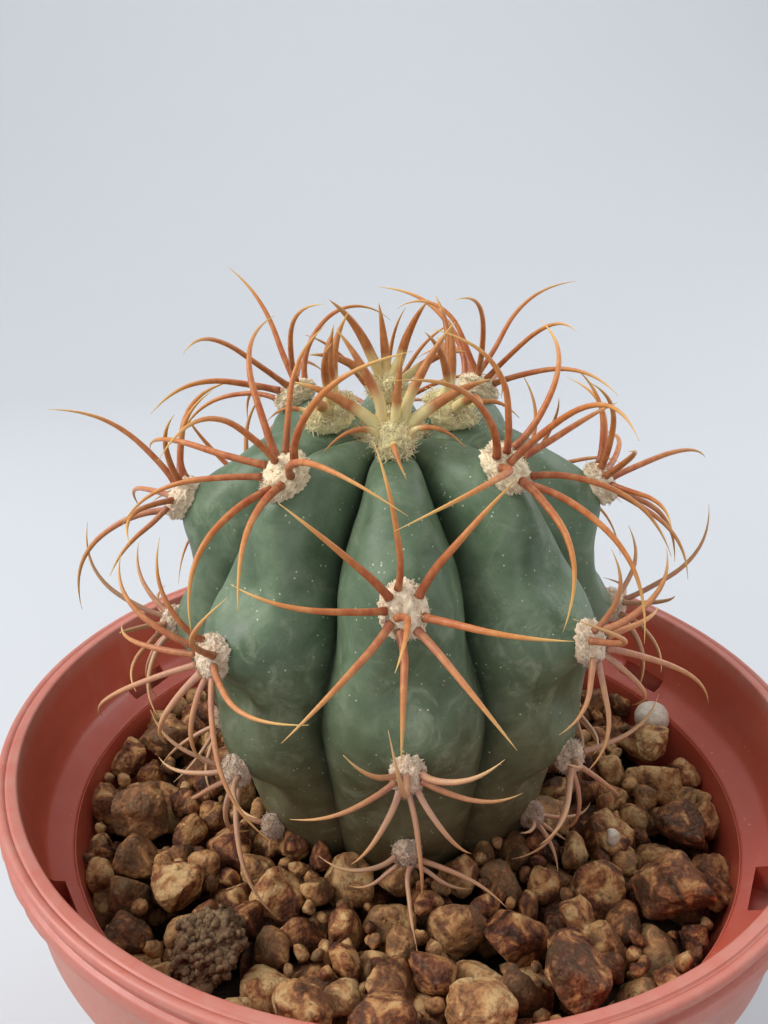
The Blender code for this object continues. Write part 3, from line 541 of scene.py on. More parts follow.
def bead_material():
    p = Paint("perlite_bead", 0.7, 0.3)
    return p.finish(p.ramp(p.noise(1.0, 4, 0.6), BEAD_TONES), None, p.noise(0.5, 3), 0.1, 0.5)


def pot_material():
    p = Paint("pot_plastic", 0.38, 0.6)
    color = p.ramp(p.noise(22, 4, 0.55), POT_TONES)
    # Real chalky dust on the outside, plus a painted highlight along the top of the rim, both mixed
    # towards the same pale colour.
    dust_and_highlight = p.both(p.value("chalk"), p.range(p.noise(4, 8, 0.72, 0.6), 0.34, 0.66, 0.45, 1.0))
    color = p.mix(p.both(dust_and_highlight, 0.62), color, POT_CHALK_AND_HIGHLIGHT)
    film = p.range(p.noise(9, 5, 0.7, 0.5, p.stretched(1, 1, 0.35)), 0.55, 0.75)
    color = p.mix(p.both(film, 0.12), color, POT_FILM)
    specks = p.both(p.range(p.cells(1.6), 0.14, 0.06), p.range(p.noise(5, 2), 0.5, 0.62))
    color = p.mix(p.both(specks, 0.4), color, POT_SPECKS)
    scratch = p.range(p.noise(1.3, 3, 0.6, 0.0, p.stretched(0.25, 0.25, 3)), 0.60, 0.72)
    height = p.math("ADD", p.both(p.noise(0.6, 3), 0.6), p.both(scratch, 0.4))
    rough = p.math("ADD", p.range(p.noise(4, 4), 0.3, 0.7, 0.30, 0.44), p.both(dust_and_highlight, 0.25))
    return p.finish(color, rough, height, 0.03, 0.5)


# --- stem ---


def outline(shares):
    """Points (radius, height) from the root up to the crown, for a crest or a valley."""
    root = [(0.0, -STEM_ROOT)]
    for radius, depth in reversed(ROOT_CREST):
        root.append((radius * STEM_RADIUS * shares[0][0] / CREST[0][0], depth * STEM_ROOT))
    body = [(r * STEM_RADIUS, h * STEM_HEIGHT) for r, h in shares]
    return np.array(root + body + [(0.0, CROWN_DIP * STEM_HEIGHT)])


def rib_swell(heights, odd):
    """1 at an areole and 0 halfway to the next, up a rib."""
    tiers = [t * STEM_HEIGHT for t in (ODD_TIERS if odd else EVEN_TIERS)]
    marks = tiers + [TIERS_END * STEM_HEIGHT]
    grown = np.interp(heights, marks, range(len(marks)))
    below = (heights - marks[0]) / (marks[1] - marks[0])
    swell = 0.5 + 0.5 * np.cos(math.tau * np.where(heights < marks[0], below, grown))
    return np.where((heights > tiers[-1]) & odd, 1.0, swell)


STEM_ROWS = 190
RIB_COLUMNS = 56
RIB_GATHER = 1.25  # how much closer the columns stand near a valley
RIB_FULLNESS = (1.70, 0.78)
CREST_WIDTH = 0.42
# Each pair is heights, in stem heights, and the value there.
NOTCH_DEPTH = ((0.10, 0.45, 0.75, 1.0), (0.45, 0.85, 1.0, 0.7))
SWAY_SETTLED = ((0.20, 0.50, 0.80), (0.25, 0.75, 1.0))
SWAY_CALM = ((0.10, 0.45, 0.78), (1.0, 0.85, 0.0))


def stem_skin():
    """Rings of points in the stem's own frame, and how deep in a valley each point is."""
    crest, valley = spline(outline(CREST), STEM_ROWS), spline(outline(VALLEY), STEM_ROWS)
    crest[:, 0], valley[:, 0] = np.maximum(crest[:, 0], 0), np.maximum(valley[:, 0], 0)
    height = crest[:, 1]
    fade = 0.10 * STEM_HEIGHT
    live = np.clip(height / fade, 0, 1) * np.clip((1.02 * STEM_HEIGHT - height) / fade, 0, 1)
    along = unit(np.gradient(crest, axis=0))
    inward = np.stack([-along[:, 1], along[:, 0]], axis=1)
    across = np.linspace(-1, 1, RIB_COLUMNS, endpoint=False)
    across = np.sign(across) * (1 - (1 - np.abs(across)) ** RIB_GATHER)
    power, root = RIB_FULLNESS
    weight = (1 - np.abs(across) ** power) ** root
    wander = 2 * rib_swell(height, False) - 1
    level = height / STEM_HEIGHT
    depth = np.interp(level, *NOTCH_DEPTH)
    settled, calm = np.interp(level, *SWAY_SETTLED), np.interp(level, *SWAY_CALM)
    sway = VALLEY_SWAY * (wander * (1 - calm) + settled * calm) * live
    columns, deep = [], []
    for rib in range(RIBS):
        odd = rib % 2 == 1
        pull = RIB_NOTCH[rib] * depth * (1 - rib_swell(height, odd)) * live
        half = 180 / RIBS + (-sway if odd else sway)
        for side, share in zip(across, weight):
            near_crest = math.exp(-((side / CREST_WIDTH) ** 2))
            point = valley + (crest - valley) * share + inward * (pull * near_crest)[:, None]
            turn = np.radians(RIB_TURN + rib * 360 / RIBS + side * half)
            columns.append(around(point[:, 0], turn, point[:, 1]))
            deep.append(np.full(STEM_ROWS, 1 - share))
    rings = np.stack(columns, axis=1)
    return rings, np.stack(deep, axis=1)


def from_stem(points):
    """From the stem's own frame to the part's frame."""
    turn, shift = np.array(STEM_FRAME.to_3x3()), np.array(STEM_FRAME.translation)
    return points @ turn.T + shift


def build_stem():
    rings, deep = stem_skin()
    inner = rings[1:-1]
    flat = inner.reshape(-1, 3)
    outward = unit(flat - np.array([0, 0, 0.45 * STEM_HEIGHT]))
    swell = 0.28 * MM * fractal(flat, 0.011, 3) + 0.06 * MM * fractal(flat, 0.003, 8)
    inner = (flat + outward * swell[:, None]).reshape(inner.shape)
    verts, faces = closed_grid(inner, (0, 0, -STEM_ROOT), (0, 0, CROWN_DIP * STEM_HEIGHT))
    level = np.clip(verts[:, 2] / STEM_HEIGHT, 0, 1)
    valley = np.append(deep[1:-1].ravel(), [0, 0])
    skin = stem_skin_material()
    verts = from_stem(verts)
    build_shell("stem_skin", skin, "stem", ("stem",), verts, faces, level=level, valley=valley)


# --- areoles ---


def welded(obj):
    """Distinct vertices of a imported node, and the neighbours of each."""
    mesh = obj.data
    keys, index = np.unique(np.round(places_of(mesh), 6), axis=0, return_inverse=True)
    index = index.ravel()
    near = [set() for _ in keys]
    for edge in mesh.edges:
        a, b = index[edge.vertices[0]], index[edge.vertices[1]]
        if a != b:
            near[a].add(b)
            near[b].add(a)
    return keys, near


def trace_areole(obj):
    """Centre lines of an areole's spines, foot first, and the points of its cushion."""
    places, near = welded(obj)
    lines, used = [], set()
    for tip, ring in enumerate(near):
        if len(ring) != 3 or any(len(near[k]) > 6 for k in ring):
            continue
        line, past, ring = [places[tip]], {tip}, set(ring)
        while len(ring) == 3 and len(line) < 5:
            line.append(np.mean([places[k] for k in ring], axis=0))
            further = set().union(*(near[k] for k in ring)) - ring - past
            past |= ring
            ring = further if len(line) < 4 else set()
        feet = set().union(*(near[k] for k in past)) - past
        line.append(np.mean([places[k] for k in feet], axis=0))
        lines.append(np.array(line[::-1]))
        used |= past
    rest = np.array([places[k] for k in range(len(places)) if k not in used])
    return lines, rest


class Areole:
    """One areole: its directions, its age from 0 (youngest) to 1, and its traced spines."""

    def __init__(self, name, rib, tilt, age):
        turn = math.radians(RIB_TURN + rib * 360 / RIBS)
        outward = Vector((math.sin(turn), -math.cos(turn), 0))
        tip = math.radians(tilt)
        self.name, self.age = name, age
        self.out = np.array(STEM_LEAN @ (outward * math.cos(tip) + Vector((0, 0, math.sin(tip)))))
        self.up = np.array(STEM_LEAN @ (Vector((0, 0, math.cos(tip))) - outward * math.sin(tip)))
        self.right = np.cross(self.up, self.out)
        self.lines, rest = trace_areole(NODES["areole_" + name])
        lift = rest @ self.out
        self.width = np.ptp(rest @ self.right) / 2
        centre = (rest.max(axis=0) + rest.min(axis=0)) / 2
        for axis in (self.up, self.right):
            middle = ((rest @ axis).max() + (rest @ axis).min()) / 2
            centre = centre + axis * (middle - centre @ axis)
        self.place = centre + self.out * (lift.min() - centre @ self.out)

    def at(self, right, up, out):
        right, up, out = (np.asarray(v, float)[..., None] for v in (right, up, out))
        return self.place + self.right * right + self.up * up + self.out * out


def all_areoles():
    found = []
    for rib in range(RIBS):
        odd = rib % 2 == 1
        tilts = ODD_TILT if odd else EVEN_TILT
        ages = ODD_AGES if odd else EVEN_AGES
        for k, (tilt, age) in enumerate(zip(tilts, ages)):
            found.append(Areole(f"{RIB_NAMES[rib]}_{k + 1}", rib, tilt, age))
        if not odd:
            found.append(Areole(f"{RIB_NAMES[rib]}_5", rib, CROWN_TILT, 0.0))
    return found


SPINE_TOP = CAD_BOUNDS[1][2] - 1.2 * MM  # how high a curled spine may reach
TALL_TIP = CAD_BOUNDS[1][2] - 2 * MM  # a packed spine whose tip is above this is arched over
TALL_TURN = math.radians(80)
SPINE_STEP = 0.5 * MM
SMALL_SPINE = 9 * MM
HOOK_FROM = 0.45
STOUT_SMALL, STOUT_YOUNG, STOUT_GROWN, STOUT_LOST = 0.48, 0.78, 0.52, 0.15
TIP_RADIUS = 0.035 * MM


def curled(line, count, hook):
    """A traced spine as a fine path with a hooked tip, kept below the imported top."""
    path = spline(line, count)
    chord = line[-1] - line[0]
    length = np.linalg.norm(chord)
    share = np.linspace(0, 1, count)[:, None]
    bow = path - (line[0] + chord * share)
    side = bow[count // 2]
    if np.linalg.norm(side) < 0.02 * length:
        side = np.array([0, 0, 1.0])
    side = side - chord * (side @ chord) / length**2
    side = side / max(np.linalg.norm(side), 1e-9)
    late = np.maximum((share - HOOK_FROM) / 0.55, 0) ** 2.2
    path = path + 0.35 * bow - side * hook * length * late
    foot, peak = line[0][2], path[:, 2].max()
    if peak > SPINE_TOP:
        path[:, 2] = foot + (path[:, 2] - foot) * (SPINE_TOP - foot) / (peak - foot)
    return path


def arched(path, turn):
    """A path bent over the way it leans, more and more, until its tip is turned by the angle."""
    steps = np.diff(path, axis=0)
    lean = unit(steps.sum(axis=0) * (1, 1, 0))
    axis = np.cross((0, 0, 1), lean)
    angle = turn * np.linspace(0, 1, len(steps))[:, None] ** 1.5
    along = (steps @ axis)[:, None] * axis
    bent = steps * np.cos(angle) + np.cross(axis, steps) * np.sin(angle)
    bent = bent + along * (1 - np.cos(angle))
    return path[0] + np.vstack([np.zeros(3), np.cumsum(bent, axis=0)])


def build_spines(areole, material):
    bag = Bag()
    dice = random.Random(areole.name + "_spines")
    young = areole.age == 0
    for line in areole.lines:
        length = np.linalg.norm(np.diff(line, axis=0), axis=1).sum()
        count = max(16, int(length / SPINE_STEP))
        hook = dice.uniform(0.08, 0.15) * min(1.0, length / (16 * MM))
        small = young and length < SMALL_SPINE
        if young:
            hook = 0.34 if small else hook * 0.5
        path = curled(line, count, hook)
        if line[-1][2] > TALL_TIP:
            path = arched(path, TALL_TURN)
        share = np.linspace(0, 1, count)
        stout = STOUT_YOUNG if young else STOUT_GROWN - STOUT_LOST * areole.age
        stout = (STOUT_SMALL if small else stout) * dice.uniform(0.88, 1.1) * MM
        radii = stout * np.maximum(1 - share**2.0, 0) ** 0.8 * (1 + 0.25 * np.exp(-share * 22))
        verts, faces, along = tube(path, np.maximum(radii, TIP_RADIUS), 10)
        swell = 0.02 * MM * fractal(verts, 0.8 * MM, 7)
        verts = verts + unit(verts - path.mean(axis=0)) * swell[:, None]
        age = np.clip(areole.age + dice.uniform(-0.06, 0.06), 0, 1)
        sag = -(unit(line[-1] - line[0]) @ areole.up)
        pale = float(np.clip(sag * 1.4 - 0.1, 0, 1)) * dice.uniform(0.5, 1.0)
        pale *= min(1.0, max(0.0, (areole.age - 0.3) * 4))
        reach = along * length / MM
        bag.add(verts, faces, along=along, reach=reach, age=age, tint=dice.random(), pale=pale)
    bag.build(f"spines_{areole.name}", material, "spines", (f"areole_{areole.name}",))


def add_felt(bag, dice, at, wide, tall, thick, age, tufts, reach):
    """A granular felted pad: a lumpy body and many short curled tufts; at() places its own axes."""
    verts, faces = BALLS[5]
    shift = dice.uniform(0, 50, 3)
    coarse, fine = fractal(verts + shift, 0.55, 5), fractal(verts + shift, 0.16, 9, 3, 0.7)
    body = verts * (1 + 0.14 * coarse + 0.12 * fine)[:, None]
    pad = at(body[:, 0] * wide, body[:, 1] * tall, body[:, 2] * thick + 0.25 * MM)
    bag.add(pad, faces, age=age, tint=0.2 + 0.3 * fractal(verts + shift, 0.3, 3))
    for _ in range(tufts):
        spot = unit(dice.normal(size=3))
        spot[2] = abs(spot[2]) * 0.9 + 0.02
        spot = unit(spot)
        start = np.array([spot[0] * wide, spot[1] * tall, spot[2] * thick + 0.1 * MM])
        heading = unit(spot * 0.8 + dice.normal(size=3) * 0.5)
        points, step = [start], dice.uniform(*reach) * MM
        for _ in range(4):
            heading = unit(heading + dice.normal(size=3) * 0.7)
            points.append(points[-1] + heading * step)
        path = np.array(points)
        path = at(path[:, 0], path[:, 1], path[:, 2])
        radii = np.linspace(0.075, 0.03, len(path)) * MM
        fibre, sides, _ = tube(path, radii, 3)
        bag.add(fibre, sides, age=age, tint=dice.random())


# How thick a pad is, in mm, how many tufts it has, and how far each step of a tuft reaches, in mm.
YOUNG_FELT = (2.4, 900, (0.20, 0.46))
GROWN_FELT = (2.0, 700, (0.08, 0.20))
CROWN_FELT = (2.6, 1400, (0.28, 0.56))


def build_wool(areole, material):
    bag = Bag()
    dice = np.random.default_rng(sum(map(ord, areole.name)) * 7)
    young = areole.age == 0
    wide, tall = areole.width * 0.95, areole.width * CUSHION_TALL * (1.1 if young else 0.95)
    thick, tufts, reach = YOUNG_FELT if young else GROWN_FELT
    add_felt(bag, dice, areole.at, wide, tall, thick * MM, areole.age, tufts, reach)
    bag.build(f"wool_{areole.name}", material, "spines")


def build_crown_wool(material):
    """The shaggy pale wool that fills the growing point between the youngest areoles."""
    bag = Bag()
    dice = np.random.default_rng(77)
    thick, tufts, reach = CROWN_FELT

    def at(x, y, z):
        z = np.asarray(z) + CROWN_DIP * STEM_HEIGHT + 0.2 * MM
        return from_stem(np.stack(np.broadcast_arrays(x, y, z), axis=-1))

    add_felt(bag, dice, at, 4.6 * MM, 4.4 * MM, thick * MM, 0.08, tufts, reach)
    bag.build("wool_crown", material, "spines")


# --- gravel ---

# Tries for each size of grain, and its span of radii in mm before GRAIN_SCALE.
GRAIN_PHASES = ((3600, (2.9, 4.5)), (2300, (2.1, 3.1)), (400, (0.8, 1.5)))
GRAIN_SCALE = 0.95
GRAIN_FLOOR = GRAVEL_TOP - 0.0105
GRAIN_CEILING = GRAVEL_TOP + 0.0022
NESTLE = 0.93  # how close two grains come, as a share of their radii
ROLLS = 26
WAIST_HEIGHTS = (GRAVEL_TOP - 0.010, GRAVEL_TOP, GRAVEL_TOP + 0.010)
WAIST_RADII = (0.0215, 0.0240, 0.0262)
MIDDLING, LITTLE = 2.9 * MM, 1.4 * MM
GRAIN_SHAPE = ((1.02, 1.34), (0.84, 1.0), (0.76, 0.94))
CHIP_SIZE = (1.1 * MM, 1.0 * MM, 1.6 * MM)
CRUMBS = 420
CRUMB_RADII = (0.22, 0.80)


def inner_wall(height):
    """Radius of the pot's inner wall below its ledge."""
    low, high = FOOT_RADIUS - 0.0020, LEDGE_INNER
    return low + (high - low) * (height - FLOOR_TOP) / (LEDGE_LOW - FLOOR_TOP)


def pebble(level, dice, planes=11, sharp=14):
    """A rounded, broken lump of about unit radius."""
    verts, faces = BALLS[level]
    axes = np.vstack([np.eye(3), -np.eye(3)])
    normals = np.vstack([unit(dice.normal(size=(planes, 3))), axes])
    reach = np.append(dice.uniform(0.68, 1.0, planes), np.ones(6))
    facing = np.maximum(verts @ normals.T, 0) / reach
    radius = 1 / ((facing**sharp).sum(axis=1) ** (1 / sharp) + 0.12)
    shift = dice.uniform(0, 50, 3)
    coarse, fine = fractal(verts + shift, 0.9, 2, 2), fractal(verts + shift, 0.28, 6, 3, 0.6)
    radius = radius * (1 + 0.11 * coarse + 0.05 * fine)
    return verts * radius[:, None], faces


def turned(verts, dice, flat=True):
    """Turned about the vertical, and tipped a little if it lies flat."""
    tip = 0.25 if flat else 3.0
    angles = (dice.uniform(-tip, tip), dice.uniform(-tip, tip), dice.uniform(0, math.tau))
    return verts @ np.array(Euler(angles).to_matrix()).T


def settle(spines, fixed, dice):
    """Drops grains one by one between the stem and the wall, and rolls each to a resting place."""
    centres = np.array([f[0] for f in fixed])
    sizes = np.array([f[1] for f in fixed])
    placed = []

    def resting(x, y, r):
        gap = np.hypot(centres[:, 0] - x, centres[:, 1] - y)
        reach = (sizes + r) * NESTLE
        touch = gap < reach
        rise = centres[touch, 2] + np.sqrt(reach[touch] ** 2 - gap[touch] ** 2)
        return max([GRAIN_FLOOR + r * 0.6] + list(rise))

    def inside(x, y, z, r):
        axis = STEM_FRAME @ Vector((0, 0, z - GRAVEL_TOP))
        body = np.interp(z, WAIST_HEIGHTS, WAIST_RADII)
        return (math.hypot(x, y) < inner_wall(min(z, LEDGE_LOW)) - r * 0.80
                and math.hypot(x - axis.x, y - axis.y) > body + r * 0.80)

    def hides_white(x, y, z, r):
        """Whether a grain would lie over the white grain or stand in front of it."""
        wx, wy, wz = WHITE_GRAIN
        reach = WHITE_GRAIN_RADIUS + r
        over = math.hypot(x - wx, y - wy) < reach and z > wz - 0.5 * WHITE_GRAIN_RADIUS
        before = abs(x - wx) < reach and 0 < wy - y < reach + 5 * MM and z + r > wz
        return over or before

    for span in (span for tries, span in GRAIN_PHASES for _ in range(tries)):
        r = dice.uniform(*span) * MM * GRAIN_SCALE
        turn = dice.uniform(0, math.tau)
        out = inner_wall(GRAVEL_TOP) * math.sqrt(dice.uniform(0.12, 1))
        x, y = out * math.sin(turn), -out * math.cos(turn)
        if not inside(x, y, GRAVEL_TOP, r):
            continue
        z = resting(x, y, r)
        for _ in range(ROLLS):
            stray = 0.3 * r + 0.4 * MM
            nx, ny = x + dice.normal() * stray, y + dice.normal() * stray
            nz = resting(nx, ny, r)
            if nz < z and inside(nx, ny, nz, r):
                x, y, z = nx, ny, nz
        if z + r * 0.40 > GRAIN_CEILING or not inside(x, y, z, r) or hides_white(x, y, z, r):
            continue
        here = np.array([x, y, z])
        if np.linalg.norm(spines - here, axis=1).min() < 0.85 * r + 0.3 * MM:
            continue
        centres, sizes = np.vstack([centres, here]), np.append(sizes, r)
        placed.append((here, r))
    return placed, resting


def build_stone(name, material):
    """One of the larger stones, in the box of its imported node."""
    dice = np.random.default_rng(sum(map(ord, name)))
    verts, faces = pebble(5, dice)
    verts = filling(turned(verts, dice), *box_ends(name))
    values = {"tint": dice.random(), "shade": dice.random() * 0.6}
    title = "grain_" + name.removeprefix("stone_")
    build_shell(title, material, "gravel", (name,), verts, faces, **values)


def lay_gravel(areoles):
    dice = np.random.default_rng(516)
    paths = np.vstack([spline(line, 40) for a in areoles for line in a.lines])
    low_spines = paths[paths[:, 2] < GRAVEL_TOP + 0.015]
    stones = [n for n in NODES if n.startswith("stone_")]
    fixed = []
    for name in stones + ["soil_clump", "white_bead"]:
        low, high = box_ends(name)
        fixed.append(((low + high) / 2, (high - low).mean() / 2))
    fixed.append((np.array(WHITE_GRAIN), WHITE_GRAIN_RADIUS))
    material = gravel_material()
    for name in stones:
        build_stone(name, material)
    sectors = [Bag() for _ in RIB_NAMES]
    grains, resting = settle(low_spines, fixed, dice)
    for centre, r in grains:
        verts, faces = pebble(4 if r > MIDDLING else 3 if r > LITTLE else 2, dice)
        shape = np.array([dice.uniform(*span) for span in GRAIN_SHAPE])
        verts = centre + turned(verts * shape, dice, False) * r * 1.10
        turn = math.atan2(centre[0], -centre[1]) % math.tau
        sector = sectors[round(turn / (math.tau / RIBS)) % RIBS]
        shade = dice.random() ** 2
        sector.add(verts, faces, tint=dice.random(), shade=shade)
    for name, bag in zip(RIB_NAMES, sectors):
        bag.build(f"gravel_{name}", material, "gravel")
    build_perlite(resting, dice)


def build_perlite(resting, dice):
    """The white chip at the front right, and the white grain where the photo has it."""
    x, y = WHITE_CHIP
    chip, faces = pebble(3, dice)
    chip = chip * CHIP_SIZE + (x, y, resting(x, y, 1.2 * MM))
    build_shell("perlite_chip", bead_material(), "bead", (), chip, faces)
    verts, faces = BALLS[4]
    lumps = 1 + 0.05 * fractal(verts + 3, 0.7, 23, 3, 0.6)
    grain = verts * lumps[:, None] * WHITE_GRAIN_RADIUS + WHITE_GRAIN
    build_shell("perlite_grain", bead_material(), "bead", (), grain, faces)


def build_bed():
    """The dark mix that shows in the gaps between the grains."""
    rings, columns = 46, 160
    wall = inner_wall(GRAVEL_TOP - 0.006) - 0.0004
    turn = full_turn(columns)
    top = []
    for share in np.linspace(0.01, 1, rings):
        ring = around(wall * share, turn, 0.0)
        ring[:, 2] = GRAVEL_TOP - BED_DEPTH + 0.0012 * fractal(ring, 0.006, 4, 4)
        top.append(ring)
    under = around(inner_wall(BED_LOW) - 0.0004, turn, BED_LOW)
    stack = [under] + top[::-1]
    verts, faces = closed_grid(stack, (0, 0, BED_LOW), (0, 0, GRAVEL_TOP - BED_DEPTH))
    material = soil_material("bed_mix", BED_SOIL)
    build_shell("gravel_base", material, "soil", ("gravel_bed",), verts, faces)


def build_clump():
    """A crumbly lump of old potting mix."""
    low, high = box_ends("soil_clump")
    dice = np.random.default_rng(36)
    verts, faces = BALLS[5]
    coarse, fine = fractal(verts + 5, 0.85, 11, 3, 0.6), fractal(verts, 0.22, 15, 3, 0.7)
    body = filling(verts * (1 + 0.50 * coarse + 0.16 * fine)[:, None], low, high)
    bag = Bag()
    bag.add(body, faces)
    for spot in body[dice.choice(len(body), CRUMBS, replace=False)]:
        size = dice.uniform(*CRUMB_RADII) * MM
        crumb, sides = pebble(2, dice, 9)
        bag.add(np.clip(spot, low + size, high - size) + crumb * size, sides)
    bag.build("soil_lump", soil_material("old_mix", OLD_SOIL), "soil", ("soil_clump",))


def build_bead():
    verts, faces = BALLS[4]
    body = verts * (1 + 0.04 * fractal(verts, 0.6, 21, 3, 0.6))[:, None]
    body = filling(body, *box_ends("white_bead"))
    build_shell("perlite_bead", bead_material(), "bead", ("white_bead",), body, faces)


# --- pot ---


def arc(radius, height, size, start, end, count=6):
    """Points round part of a circle in the profile's plane, angles from outward towards up."""
    return [(radius + size * math.cos(a), height + size * math.sin(a))
            for a in np.radians(np.linspace(start, end, count))]


def pot_profile():
    """The pot's section: up the inside, over the rim, down the outside, and under the foot."""
    top = POT_HEIGHT
    ledge_top = LEDGE_LOW + LEDGE_THICK
    points = [(FLOOR_EDGE, FLOOR_TOP), (FLOOR_EDGE + 0.0006, FLOOR_TOP + 0.0005)]
    points += [(inner_wall(h), h) for h in np.linspace(0.006, LEDGE_LOW - 0.0006, 12)]
    # the ledge that the next pot stacks on
    points += arc(LEDGE_INNER + 0.0006, LEDGE_LOW - 0.0006, 0.0006, 180, 110, 4)
    points += [(LEDGE_OUTER - 0.0008, ledge_top - 0.0001)]
    points += [(LEDGE_OUTER - 0.0001, ledge_top + 0.0007)]
    points += [(LEDGE_OUTER + 0.0006, LEDGE_LOW + 0.0055), (RIM_INNER - 0.0004, top - 0.0030)]
    # the rolled rim, its crease and the lip under it
    points += arc(RIM_INNER + 0.0004, top - 0.0004, 0.0004, 180, 95, 5)
    points += [(0.05830, top - 0.00004)]
    points += [(0.05848, top - 0.00028), (0.05864, top - 0.00030)]
    points += arc(0.05922, top - 0.00068, 0.00066, 150, -50, 10)
    points += [(0.05945, top - 0.00185), (0.05938, top - 0.00215)]
    points += arc(0.05955, top - 0.00275, 0.00045, 80, 0, 5)
    points += [(RIM_RADIUS, top - 0.0038)]
    points += arc(0.05965, top - 0.00415, 0.00035, 0, -80, 4)
    # the band below the lip, the shoulder and the tapered wall
    points += [(0.0584, top - 0.0046), (0.05800, top - 0.0052)]
    points += [(0.0575, top - 0.0095), (0.0568, top - 0.0150)]
    points += arc(0.0560, top - 0.0178, 0.0006, 0, -60, 4)
    points += [(0.0546, top - 0.0206), WALL_TOP]
    foot_top = 0.0030
    wide, tall = WALL_TOP[0] - FOOT_RADIUS, WALL_TOP[1] - foot_top
    points += [(FOOT_RADIUS + wide * s, foot_top + tall * s) for s in np.linspace(0.96, 0, 16)]
    # the foot ring and the underside
    points += arc(FOOT_RADIUS - 0.0008, 0.0008, 0.0008, 0, -90, 5)
    ring = FOOT_RADIUS - 0.0030
    points += [(FOOT_RADIUS - 0.0026, 0.0), (ring, 0.0004), (ring, FOOT_HEIGHT)]
    points += [(0.020, FOOT_HEIGHT)]
    return points


def boolean(obj, cutter):
    cut = obj.modifiers.new("cut", "BOOLEAN")
    cut.operation, cut.solver, cut.object = "DIFFERENCE", "EXACT", cutter


def plain_object(name, made):
    mesh = bpy.data.meshes.new(name)
    made.to_mesh(mesh)
    made.free()
    obj = bpy.data.objects.new(name, mesh)
    bpy.context.scene.collection.objects.link(obj)
    return obj


def pot_rings(columns=300):
    """The profile turned round, a little out of round, uneven, and with burrs along the lip."""
    turn = full_turn(columns)
    rings = []
    for radius, height in pot_profile():
        wobble = 1 + 0.0012 * np.sin(turn * 2 + 0.6) * (height > 0.02)
        round_ring = around(radius, turn, height) * (1, -1, 1)
        uneven = 0.10 * MM * fractal(round_ring, 0.022, 31, 2) * (height > 0.02)
        lip = POT_HEIGHT - 0.0047 < height < POT_HEIGHT - 0.0032 and radius > 0.0590
        burrs = 0.16 * MM * np.maximum(fractal(round_ring, 0.0035, 41, 3, 0.7), 0) if lip else 0
        real = np.minimum(radius * wobble + uneven, RIM_RADIUS) - burrs
        rings.append(around(real, turn, height))
    return rings


def pot_cutters():
    """The stacking pockets in the ledge, and the drain holes in the floor."""
    made = bmesh.new()
    for k in range(POCKETS):
        angle = math.radians(POCKET_TURN + k * 360 / POCKETS)
        turn = Matrix.Rotation(angle, 3, "Z")
        grown = bmesh.ops.create_cube(made, size=1)["verts"]
        bmesh.ops.scale(made, vec=POCKET_SIZE, verts=grown)
        bmesh.ops.translate(made, vec=POCKET_SPOT, verts=grown)
        bmesh.ops.rotate(made, cent=(0, 0, 0), matrix=turn, verts=grown)
    spots = [(0, 0)]
    for angle in (k * math.tau / DRAIN_HOLES for k in range(DRAIN_HOLES)):
        spots.append((DRAIN_CIRCLE * math.sin(angle), -DRAIN_CIRCLE * math.cos(angle)))
    for x, y in spots:
        bmesh.ops.create_cone(
            made, cap_ends=True, segments=32, radius1=DRAIN_RADIUS, radius2=DRAIN_RADIUS,
            depth=0.008, matrix=Matrix.Translation((x, y, 0.003)),
        )
    return plain_object("cutters", made)


# The pot's outside by height, for the chalky dust on it.
OUTSIDE = ((0, 0.085, 0.09), (0.0372, 0.0568, 0.0590))
CHALK_FADE = 0.0006
RIM_HIGHLIGHT_FADE = 0.0004


def add_chalk_and_rim_highlight(mesh):
    """How chalky the plastic is, the outside most and below the lip, with a painted highlight: a
    lighter band along the top of the rim.
    """
    places = places_of(mesh)
    height, out = places[:, 2], np.hypot(places[:, 0], places[:, 1])
    outer = np.clip((out - np.interp(height, *OUTSIDE)) / CHALK_FADE, 0, 1)
    below_lip = np.clip((POT_HEIGHT - 0.0040 - height) / CHALK_FADE, 0, 1)
    # painted highlight: the top 1.2 mm of the rim is painted lighter, as if lit from above
    band = 0.7 * np.clip((height - POT_HEIGHT + 0.0012) / RIM_HIGHLIGHT_FADE, 0, 1)
    chalk = np.maximum(outer * (0.60 + 0.40 * below_lip), band)
    layer = mesh.attributes.new("chalk", "FLOAT", "POINT")
    layer.data.foreach_set("value", chalk.astype(np.float32))


def build_pot():
    verts, faces = closed_grid(pot_rings(), (0, 0, FLOOR_TOP), (0, 0, FOOT_HEIGHT))
    pot = build_shell("pot_body", pot_material(), "pot", ("pot",), verts, faces[:, ::-1])
    cutter = pot_cutters()
    boolean(pot, cutter)
    graph = bpy.context.evaluated_depsgraph_get()
    finished = bpy.data.meshes.new_from_object(pot.evaluated_get(graph))
    pot.modifiers.clear()
    pot.data = finished
    bpy.data.objects.remove(cutter)
    add_chalk_and_rim_highlight(finished)
    finished.set_sharp_from_angle(angle=math.radians(50))


# --- the rest ---

CAMERA_SPOT = (-0.0040, -0.12066, 0.16822)
CAMERA_PITCH = 20.94  # degrees down
CAMERA_ROLL = 0.0115  # radians
CAMERA_LENS = 31.64
SKY = (0.985, 0.99, 1.0, 1)
SKY_STRENGTH = 0.7
COVE_FLAT, COVE_CURVE, COVE_HEIGHT = 0.60, 0.55, 1.7


